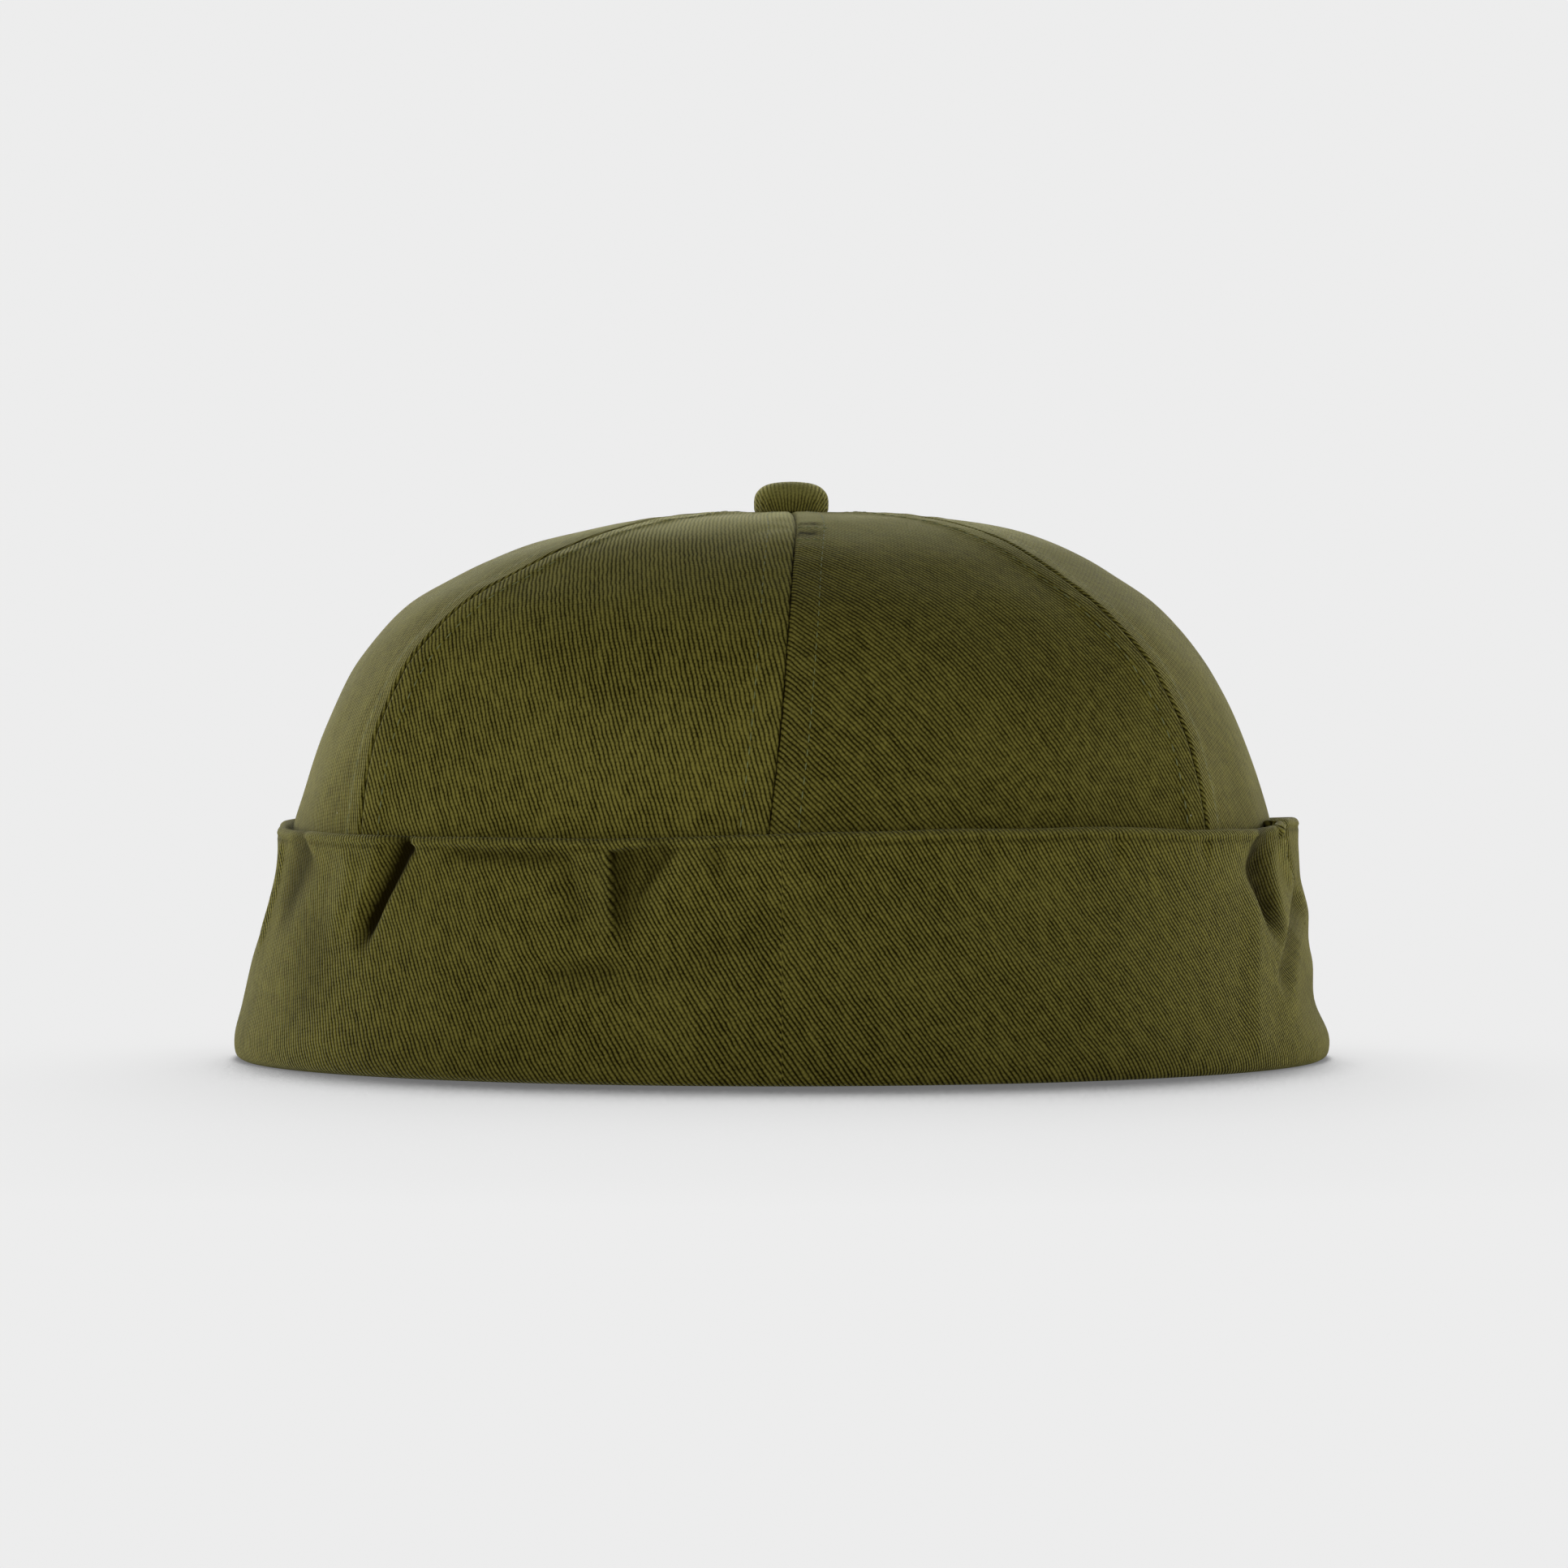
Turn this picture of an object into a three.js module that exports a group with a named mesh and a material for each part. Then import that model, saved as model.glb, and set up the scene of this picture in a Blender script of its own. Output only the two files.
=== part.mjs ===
// A docker cap: a brimless six-panel cotton cap with a turned-up cuff and a covered button.
// Millimetres, +Z up. The front of the cap faces -Y, and it stands on the fold of its cuff at z = 0.
// Six cut panels meet at the apex, the cuff is a doubled band folded up round the outside,
// and the button is pinned through the apex. Every piece is its own closed solid.

import * as THREE from "three";

// Driving dimensions
const CLOTH = 1.2; // one ply of heavy twill, or a panel with its felled seams
const CUFF_WALL = 2.4; // the cuff is two plies
const PIECE_GAP = 0.3; // air between neighbouring pieces
const CUFF_CLEARANCE = 0.5; // least air between the hidden panel wall and the inside of the cuff

// Seams of the crown, in their order round it from the front centre towards the right.
// crest is how far a seam stands out of the oval, as a share of the radius.
const SEAMS = [
  { name: "front", crest: 0.014 },
  { name: "frontRight", crest: 0.04 },
  { name: "backRight", crest: 0.03 },
  { name: "back", crest: 0.014 },
  { name: "backLeft", crest: 0.03 },
  { name: "frontLeft", crest: 0.04 },
];
// Where each seam runs: degrees from the front centre, positive to the right seen from the front.
const SEAM_PATHS = [
  { height: 9, front: -2.6, frontRight: 53, backRight: 118, back: 180, backLeft: 242, frontLeft: 308 },
  { height: 44, front: -1.5, frontRight: 53.1, backRight: 118, back: 180, backLeft: 242, frontLeft: 307.6 },
  { height: 63, front: -0.3, frontRight: 53.4, backRight: 118, back: 180, backLeft: 242, frontLeft: 306.1 },
  { height: 76, front: 0.3, frontRight: 51.5, backRight: 119, back: 180, backLeft: 241, frontLeft: 307 },
  { height: 86, front: 0.9, frontRight: 49.0, backRight: 120, back: 180, backLeft: 240, frontLeft: 310 },
  { height: 93, front: 0.9, frontRight: 47.4, backRight: 121, back: 180, backLeft: 239, frontLeft: 313.4 },
  { height: 98.5, front: -0.6, frontRight: 47.6, backRight: 121, back: 180, backLeft: 239, frontLeft: 313.2 },
  { height: 102, front: 0, frontRight: 48.0, backRight: 121, back: 180, backLeft: 239, frontLeft: 313 },
];
const CREST_REACH_DEG = 30; // a crest has died out this far from its seam
const CUFF_CREST_ROUND_DEG = 9; // the cuff passes over a crest in a round bend, with no crease
const CREST_LOW = { height: 0, share: 0 }; // the cuff's foot is a plain oval
const CREST_FULL = { height: 60, share: 1 };

// Outer face of the crown, from its sewn lower edge up to the hole for the button's post.
// shift moves a section sideways: the crown leans a little to the right towards its top.
const CROWN_SECTIONS = [
  { height: 9.3, halfWidth: 95.4, halfDepth: 99.4, shift: 0 },
  { height: 21, halfWidth: 93.0, halfDepth: 96.9, shift: 0 },
  { height: 32, halfWidth: 91.7, halfDepth: 95.5, shift: 0 },
  { height: 40, halfWidth: 91.4, halfDepth: 95.1, shift: 0 },
  { height: 44, halfWidth: 91.1, halfDepth: 94.7, shift: 0 },
  { height: 50, halfWidth: 89.4, halfDepth: 93.2, shift: 0 },
  { height: 56, halfWidth: 87.4, halfDepth: 91.3, shift: 0 },
  { height: 62, halfWidth: 85.1, halfDepth: 89.2, shift: 0 },
  { height: 68, halfWidth: 82.3, halfDepth: 86.6, shift: 0 },
  { height: 74, halfWidth: 78.9, halfDepth: 83.4, shift: 0 },
  { height: 80, halfWidth: 74.2, halfDepth: 78.8, shift: 0 },
  { height: 85, halfWidth: 68.9, halfDepth: 73.4, shift: 0.1 },
  { height: 89.5, halfWidth: 62.1, halfDepth: 66.2, shift: 0.6 },
  { height: 93, halfWidth: 56.0, halfDepth: 59.4, shift: 1.2 },
  { height: 96, halfWidth: 49.2, halfDepth: 51.9, shift: 2.0 },
  { height: 98.5, halfWidth: 41.3, halfDepth: 43.2, shift: 2.9 },
  { height: 100.3, halfWidth: 33.0, halfDepth: 34.2, shift: 2.8 },
  { height: 101.3, halfWidth: 24.0, halfDepth: 24.6, shift: 2.2 },
  { height: 101.8, halfWidth: 14.0, halfDepth: 14.2, shift: 1.8 },
  { height: 102.0, halfWidth: 2.1, halfDepth: 2.1, shift: 1.75 },
];

// Outer face of the turned-up cuff, from the flat of its fold up to just under its edge.
const CUFF_SECTIONS = [
  { height: 0, halfWidth: 100.5, halfDepth: 104.3 },
  { height: 1.0, halfWidth: 101.7, halfDepth: 105.5 },
  { height: 3.4, halfWidth: 102.0, halfDepth: 105.9 },
  { height: 10, halfWidth: 100.6, halfDepth: 104.7 },
  { height: 17, halfWidth: 99.1, halfDepth: 103.0 },
  { height: 24, halfWidth: 97.4, halfDepth: 101.2 },
  { height: 30, halfWidth: 96.1, halfDepth: 99.8 },
  { height: 35.5, halfWidth: 94.9, halfDepth: 98.6 },
  { height: 40, halfWidth: 94.5, halfDepth: 98.0 },
  { height: 43, halfWidth: 94.6, halfDepth: 98.0 },
];
const CUFF_HEIGHT = 44; // nominal height of the cuff's upper edge

// The upper edge rises and falls a little on its way round.
const EDGE_HEIGHTS = [
  { deg: -180, height: 43.8 },
  { deg: -110, height: 44.2 },
  { deg: -67, height: 43.0 },
  { deg: -35, height: 42.6 },
  { deg: -15, height: 42.8 },
  { deg: 5, height: 44.0 },
  { deg: 35, height: 44.4 },
  { deg: 66, height: 43.6 },
  { deg: 78, height: 44.6 },
  { deg: 115, height: 43.7 },
  { deg: 180, height: 43.8 },
];

// Folds of the cuff. Each runs from a top point to a bottom point and narrows on the way.
// A positive depth is a dent, a negative one a bulge.
const FOLDS = [
  { topDeg: -67, bottomDeg: -71, topHeight: 42.0, bottomHeight: 22, topWidth: 15, bottomWidth: 6, depth: 2.0 },
  { topDeg: -45.5, bottomDeg: -49, topHeight: 42.2, bottomHeight: 22, topWidth: 12, bottomWidth: 5, depth: 3.2 },
  { topDeg: -23, bottomDeg: -23, topHeight: 41.5, bottomHeight: 26, topWidth: 9, bottomWidth: 6, depth: 1.0 },
  { topDeg: -19.6, bottomDeg: -19.4, topHeight: 42.5, bottomHeight: 22, topWidth: 6, bottomWidth: 5, depth: -0.8 },
  { topDeg: -15.2, bottomDeg: -17.3, topHeight: 42.2, bottomHeight: 21, topWidth: 13, bottomWidth: 5, depth: 2.6 },
  { topDeg: -8, bottomDeg: -8, topHeight: 42.5, bottomHeight: 34, topWidth: 7, bottomWidth: 5, depth: 0.8 },
  { topDeg: 4, bottomDeg: 3, topHeight: 43.0, bottomHeight: 34, topWidth: 8, bottomWidth: 5, depth: 0.7 },
  { topDeg: -24, bottomDeg: -22, topHeight: 28.0, bottomHeight: 13, topWidth: 48, bottomWidth: 40, depth: 0.9 },
  { topDeg: 1, bottomDeg: 27, topHeight: 35.0, bottomHeight: 15, topWidth: 20, bottomWidth: 16, depth: -0.7 },
  { topDeg: 62.8, bottomDeg: 66.5, topHeight: 43.0, bottomHeight: 24, topWidth: 17, bottomWidth: 6, depth: 3.0 },
  { topDeg: 74, bottomDeg: 76, topHeight: 43.5, bottomHeight: 26, topWidth: 7, bottomWidth: 5, depth: 1.2 },
  { topDeg: 90, bottomDeg: 88, topHeight: 51.0, bottomHeight: 17, topWidth: 60, bottomWidth: 50, depth: -2.0 },
  { topDeg: 88, bottomDeg: 88, topHeight: 24.0, bottomHeight: 2, topWidth: 70, bottomWidth: 70, depth: 1.4 },
  { topDeg: 112, bottomDeg: 109, topHeight: 42.0, bottomHeight: 20, topWidth: 14, bottomWidth: 6, depth: 2.0 },
  { topDeg: 151, bottomDeg: 155, topHeight: 42.0, bottomHeight: 24, topWidth: 16, bottomWidth: 7, depth: 2.2 },
  { topDeg: -155, bottomDeg: -152, topHeight: 42.0, bottomHeight: 22, topWidth: 15, bottomWidth: 7, depth: 2.0 },
  { topDeg: -108, bottomDeg: -111, topHeight: 42.0, bottomHeight: 24, topWidth: 14, bottomWidth: 6, depth: 1.8 },
];
const FOLD_START = 0.18; // share of a fold's length over which it deepens under the edge
const ROOM_REACH = { deg: 5, height: 4 }; // how far round it a panel heeds the cuff's dents

// Fold of the cuff at the floor, and the short inner ply that the panels are sewn to
const FOLD_FLOOR = 2.2; // cloth under the hollow of the fold
const INNER_PLY_TOP = 8.75;
const INNER_BEND = [
  { inset: 0, height: 3.2 },
  { inset: 0.7, height: 1.0 },
  { inset: 2.6, height: 0 },
];

// Covered button, and the plain post and disc that hold it through the apex
const BUTTON_RADIUS = 6.85;
const BUTTON_TOP = 107.3;
const BUTTON_CENTRE_X = 1.75;
const POST_RADIUS = 1.7;
const DISC_RADIUS = 4.5;
const DISC_THICKNESS = 1.0;

// Fineness of the faceted faces
const PANEL_CELLS_ACROSS = 8;
const CUFF_STATIONS = 116;
const FRONT_CROWDING = 0.4; // stations of the cuff stand closer together round the front
const BUTTON_SEGMENTS = 24;

const CLOTH_COLOUR = 0x4b4722;
const BUTTON_COLOUR = 0x4e4a29;

const lerp = THREE.MathUtils.lerp;
const radians = THREE.MathUtils.degToRad;
const smooth = (share) => THREE.MathUtils.smoothstep(share, 0, 1);

// One column of a table, read at a fractional row number on a curve through its rows.
function columnAt(table, column, row) {
  const last = table.length - 1;
  const index = Math.min(Math.floor(row), last - 1);
  const share = row - index;
  const value = (at) => table[Math.min(Math.max(at, 0), last)][column];
  const before = (value(index + 1) - value(index - 1)) / 2;
  const after = (value(index + 2) - value(index)) / 2;
  const square = share * share;
  const cube = square * share;
  return (
    value(index) * (2 * cube - 3 * square + 1) +
    before * (cube - 2 * square + share) +
    value(index + 1) * (3 * square - 2 * cube) +
    after * (cube - square)
  );
}

// The fractional row number at which a rising column reaches a value.
function rowWhere(table, column, value) {
  const last = table.length - 1;
  const index = Math.max(0, Math.min(last - 1, table.findIndex((row) => row[column] > value) - 1));
  const below = value >= table[last][column] ? last - 1 : index;
  const share = (value - table[below][column]) / (table[below + 1][column] - table[below][column]);
  return below + Math.min(Math.max(share, 0), 1);
}

const tableValue = (table, key, at, column) => columnAt(table, column, rowWhere(table, key, at));

// Radius of an upright oval in the direction deg.
function ovalRadius(halfWidth, halfDepth, deg) {
  const angle = radians(deg);
  return 1 / Math.hypot(Math.sin(angle) / halfWidth, Math.cos(angle) / halfDepth);
}

// Signed turn from one direction to another, from -180 to 180 degrees.
const turn = (from, to) => THREE.MathUtils.euclideanModulo(to - from + 180, 360) - 180;

const seamDeg = (seam, height) => tableValue(SEAM_PATHS, "height", height, seam.name);

// How far the seams lift the cloth at deg, as a share of the radius; round softens the crease.
function crestAt(deg, height, round) {
  const rise = (height - CREST_LOW.height) / (CREST_FULL.height - CREST_LOW.height);
  const share = lerp(CREST_LOW.share, CREST_FULL.share, smooth(rise));
  let lift = 0;
  for (const seam of SEAMS) {
    const away = Math.hypot(turn(seamDeg(seam, height), deg), round) - round;
    lift += seam.crest * Math.max(0, 1 - away / CREST_REACH_DEG) ** 2;
  }
  return lift * share;
}

// Depth of all folds of the cuff at one place; radius turns degrees into a distance.
function foldDepth(deg, height, radius) {
  let depth = 0;
  for (const fold of FOLDS) {
    const along = (fold.topHeight - height) / (fold.topHeight - fold.bottomHeight);
    if (along <= 0 || along >= 1) continue;
    const centre = lerp(fold.topDeg, fold.bottomDeg, along);
    const reach = lerp(fold.topWidth, fold.bottomWidth, along) / 2;
    const across = (radians(turn(centre, deg)) * radius) / reach;
    if (Math.abs(across) >= 1) continue;
    const start = smooth(along / FOLD_START);
    const end = smooth((1 - along) / (1 - FOLD_START));
    depth += fold.depth * start * end * Math.cos((across * Math.PI) / 2) ** 2;
  }
  return depth;
}

const pointAt = (deg, radius, height, shift = 0) =>
  new THREE.Vector3(shift + radius * Math.sin(radians(deg)), -radius * Math.cos(radians(deg)), height);

// Radius of the cuff's outer face, with its folds.
function cuffRadius(deg, height) {
  const row = rowWhere(CUFF_SECTIONS, "height", height);
  const halfWidth = columnAt(CUFF_SECTIONS, "halfWidth", row);
  const halfDepth = columnAt(CUFF_SECTIONS, "halfDepth", row);
  const oval = ovalRadius(halfWidth, halfDepth, deg);
  const lifted = oval * (1 + crestAt(deg, height, CUFF_CREST_ROUND_DEG));
  return lifted - foldDepth(deg, height, oval);
}

// The radius that the cuff leaves free for a panel at one place and a little way round it.
function roomInCuff(deg, height) {
  let room = Infinity;
  for (let away = -ROOM_REACH.deg; away <= ROOM_REACH.deg; away += ROOM_REACH.deg / 4) {
    for (let off = -ROOM_REACH.height; off <= ROOM_REACH.height; off += ROOM_REACH.height / 2) {
      const at = Math.min(Math.max(height + off, 0), CUFF_HEIGHT);
      room = Math.min(room, cuffRadius(deg + away, at));
    }
  }
  return room - CUFF_WALL - CUFF_CLEARANCE;
}

// A point of the crown's outer face, at a fractional row of CROWN_SECTIONS.
// Inside the cuff the panel gives way wherever a dent of the cuff would press on it.
function crownPoint(deg, row, creased = true) {
  const height = columnAt(CROWN_SECTIONS, "height", row);
  const halfWidth = columnAt(CROWN_SECTIONS, "halfWidth", row);
  const halfDepth = columnAt(CROWN_SECTIONS, "halfDepth", row);
  const oval = ovalRadius(halfWidth, halfDepth, deg);
  let radius = oval * (1 + (creased ? crestAt(deg, height, 0) : 0));
  if (height < CUFF_HEIGHT) {
    radius = Math.min(radius, roomInCuff(deg, height));
  }
  return pointAt(deg, radius, height, columnAt(CROWN_SECTIONS, "shift", row));
}

// Outward direction of the plain dome, the same on both sides of a seam.
function crownNormal(deg, row) {
  const step = 0.02;
  const last = CROWN_SECTIONS.length - 1;
  const low = Math.max(row - step, 0);
  const high = Math.min(row + step, last);
  const up = crownPoint(deg, high, false).sub(crownPoint(deg, low, false));
  const around = crownPoint(deg + 1, row, false).sub(crownPoint(deg - 1, row, false));
  return around.cross(up).normalize();
}

// A closed mesh from a grid of rings: each ring is a loop of points, joined to the next.
function loftedGeometry(rings, ringsClose) {
  const positions = [];
  const triangle = (a, b, c) => positions.push(...a.toArray(), ...b.toArray(), ...c.toArray());
  const count = rings[0].length;
  const spans = ringsClose ? rings.length : rings.length - 1;
  for (let i = 0; i < spans; i += 1) {
    const here = rings[i];
    const next = rings[(i + 1) % rings.length];
    for (let j = 0; j < count; j += 1) {
      const k = (j + 1) % count;
      triangle(here[j], next[k], next[j]);
      triangle(here[j], here[k], next[k]);
    }
  }
  if (!ringsClose) {
    capRing(rings[0], triangle, false);
    capRing(rings[rings.length - 1], triangle, true);
  }
  const geometry = new THREE.BufferGeometry();
  geometry.setAttribute("position", new THREE.Float32BufferAttribute(positions, 3));
  geometry.computeVertexNormals();
  return geometry;
}

// Closes a ring whose first half is one face of a wall and whose second half is the other.
function capRing(ring, triangle, facesOn) {
  const count = ring.length;
  for (let j = 0; j < count / 2 - 1; j += 1) {
    const across = count - 1 - j;
    const corners = [ring[j], ring[j + 1], ring[across - 1], ring[across]];
    if (!facesOn) corners.reverse();
    triangle(corners[0], corners[1], corners[2]);
    triangle(corners[0], corners[2], corners[3]);
  }
}

const cloth = (colour) =>
  new THREE.MeshStandardMaterial({ color: colour, roughness: 0.92, metalness: 0 });

// A cut panel of the crown between two seams, from its sewn lower edge to the apex.
function panel(name, fromSeam, toSeam) {
  const last = CROWN_SECTIONS.length - 1;
  const rings = [];
  for (let row = 0; row <= last; row += 1) {
    const { height, halfWidth: oval } = CROWN_SECTIONS[row];
    const from = seamDeg(fromSeam, height);
    const width = THREE.MathUtils.euclideanModulo(seamDeg(toSeam, height) - from, 360);
    const gap = THREE.MathUtils.radToDeg(PIECE_GAP / 2 / oval);
    const outer = [];
    const inner = [];
    for (let cell = 0; cell <= PANEL_CELLS_ACROSS; cell += 1) {
      const deg = from + lerp(gap, width - gap, cell / PANEL_CELLS_ACROSS);
      const face = crownPoint(deg, row);
      outer.push(face);
      inner.unshift(face.clone().addScaledVector(crownNormal(deg, row), -CLOTH));
    }
    rings.push([...outer, ...inner]);
  }
  const mesh = new THREE.Mesh(loftedGeometry(rings, false), cloth(CLOTH_COLOUR));
  mesh.name = name;
  return mesh;
}

// Section of the cuff at deg: up the outside, over the edge, down the inside,
// round the hollow of the fold, over the short inner ply and back along the floor.
function cuffSection(deg) {
  const edge = tableValue(EDGE_HEIGHTS, "deg", turn(0, deg), "height");
  const lift = (height) => height * lerp(1, edge / CUFF_HEIGHT, smooth(height / CUFF_HEIGHT));
  const outside = CUFF_SECTIONS.map(({ height }) => [cuffRadius(deg, height), lift(height)]);
  const edgeRadius = cuffRadius(deg, CUFF_HEIGHT - 1);
  const insideHeights = [CUFF_HEIGHT - 1, 34, 24, 12, 5.5];
  const inside = insideHeights.map((height) => [cuffRadius(deg, height) - CUFF_WALL, lift(height)]);
  const sewn = crownPoint(deg, 0);
  const plyOuter = Math.hypot(sewn.x, sewn.y);
  const plyInner = plyOuter - CLOTH;
  const hollow = [(inside.at(-1)[0] + plyOuter) / 2, FOLD_FLOOR];
  return [
    ...outside,
    [edgeRadius - CUFF_WALL / 2, edge],
    ...inside,
    hollow,
    [plyOuter, INNER_PLY_TOP],
    [plyInner, INNER_PLY_TOP],
    ...INNER_BEND.map(({ inset, height }) => [plyInner + inset, height]),
  ].map(([radius, height]) => pointAt(deg, radius, height));
}

function cuff() {
  const rings = [];
  for (let station = 0; station < CUFF_STATIONS; station += 1) {
    const even = (2 * Math.PI * station) / CUFF_STATIONS;
    const deg = THREE.MathUtils.radToDeg(even - FRONT_CROWDING * Math.sin(even));
    rings.push(cuffSection(deg).reverse());
  }
  const mesh = new THREE.Mesh(loftedGeometry(rings, true), cloth(CLOTH_COLOUR));
  mesh.name = "cuff";
  return mesh;
}

// The covered button with its post and inner disc, turned as one piece.
function button() {
  const crownTop = CROWN_SECTIONS.at(-1).height;
  const seat = crownTop + PIECE_GAP;
  const rimSeat = crownTop + PIECE_GAP / 2;
  const discTop = crownTop - CLOTH - PIECE_GAP;
  const profile = [
    [0, discTop - DISC_THICKNESS],
    [DISC_RADIUS, discTop - DISC_THICKNESS],
    [DISC_RADIUS, discTop],
    [POST_RADIUS, discTop],
    [POST_RADIUS, seat],
    [BUTTON_RADIUS - 0.8, rimSeat],
    [BUTTON_RADIUS - 0.2, rimSeat + 0.4],
    [BUTTON_RADIUS, rimSeat + 1.4],
    [BUTTON_RADIUS - 0.1, rimSeat + 2.6],
    [BUTTON_RADIUS - 0.9, rimSeat + 3.9],
    [BUTTON_RADIUS - 2.4, rimSeat + 4.7],
    [BUTTON_RADIUS - 4.4, BUTTON_TOP - 0.08],
    [0, BUTTON_TOP],
  ].map(([radius, height]) => new THREE.Vector2(radius, height));
  const turned = new THREE.LatheGeometry(profile, BUTTON_SEGMENTS);
  turned.rotateX(Math.PI / 2); // a lathe turns about Y, and the cap stands along Z
  const mesh = new THREE.Mesh(turned, cloth(BUTTON_COLOUR));
  mesh.name = "button";
  mesh.position.x = BUTTON_CENTRE_X;
  return mesh;
}

const cap = new THREE.Group();
const panelNames = [
  "panel_front_right",
  "panel_side_right",
  "panel_back_right",
  "panel_back_left",
  "panel_side_left",
  "panel_front_left",
];
panelNames.forEach((name, i) => cap.add(panel(name, SEAMS[i], SEAMS[(i + 1) % SEAMS.length])));
cap.add(cuff());
cap.add(button());

// The origin is on the floor under the middle of the whole cap.
const box = new THREE.Box3().setFromObject(cap);
const middle = box.getCenter(new THREE.Vector3());
cap.position.set(-middle.x, -middle.y, -box.min.z);

export default cap;
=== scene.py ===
"""The looks of the docker cap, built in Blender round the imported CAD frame.

Sizes are in millimetres where they are written and in metres once they are in a mesh.
The front of the cap faces -Y, and it stands on the fold of its cuff at z = 0.
"""

import math

import bpy
import numpy as np
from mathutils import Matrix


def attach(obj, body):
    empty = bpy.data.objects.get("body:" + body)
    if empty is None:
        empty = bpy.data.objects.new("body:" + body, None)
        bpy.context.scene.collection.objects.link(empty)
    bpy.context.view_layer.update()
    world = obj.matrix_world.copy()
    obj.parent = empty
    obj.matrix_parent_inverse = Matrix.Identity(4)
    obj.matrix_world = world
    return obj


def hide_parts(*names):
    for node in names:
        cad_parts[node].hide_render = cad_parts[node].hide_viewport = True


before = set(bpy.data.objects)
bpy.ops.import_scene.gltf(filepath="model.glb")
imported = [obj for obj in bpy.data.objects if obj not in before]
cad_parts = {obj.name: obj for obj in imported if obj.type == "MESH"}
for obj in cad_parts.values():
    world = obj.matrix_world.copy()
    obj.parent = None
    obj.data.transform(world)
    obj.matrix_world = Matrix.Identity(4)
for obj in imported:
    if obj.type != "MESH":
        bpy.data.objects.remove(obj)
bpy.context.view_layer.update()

# The cuff
# A doubled band of heavy cotton twill, turned up round the outside of the cap.
# It folds at the floor, ends above in a soft rolled edge, and is sewn to the panels inside.

MM = 0.001
CUFF_WALL = 2.4
CUFF_HEIGHT = 44.0
CUFF_STATIONS = 900
FRONT_CROWDING = 0.5
BEAD_TURNS = 9
CLOTH = 1.2

# height, half width, half depth of the outer face
CUFF_SECTIONS = (
    (0, 100.5, 104.3), (0.35, 101.2, 105), (1, 101.7, 105.5),
    (2, 101.95, 105.8), (3.4, 102, 105.9), (10, 100.6, 104.7),
    (17, 99.1, 103), (24, 97.4, 101.2), (30, 96.1, 99.8),
    (35.5, 94.9, 98.6), (40, 94.5, 98), (43, 94.6, 98),
    (44, 94.7, 98.1),
)

# direction in degrees, height of the rolled edge
CUFF_EDGE = (
    (-180, 43.8), (-110, 44.2), (-67, 43), (-35, 42.6), (-15, 42.8), (5, 44),
    (35, 44.4), (66, 43.6), (78, 44.6), (115, 43.7), (180, 43.8),
)

# The thin roll along the edge stands a little proud (size, height, softness), over a neck
# where the plies are pressed
RIM_ROLL = (0.2, 43.45, 0.6)
RIM_NECK = 42.25
NECK_DEPTH = 0.12
NECK_SOFT = 0.45
# size, length and seed of its waves: the neck's wander, the edge's rise and fall, the face
NECK_WANDER = (0.25, 23, 6)
EDGE_WAVE = (0.16, 19, 8)
FACE_WAVES = ((0.3, 46, 3), (0.12, 17, 4))
# the foot is pressed even, up to this height
CALM_FOOT = 6.0

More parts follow.
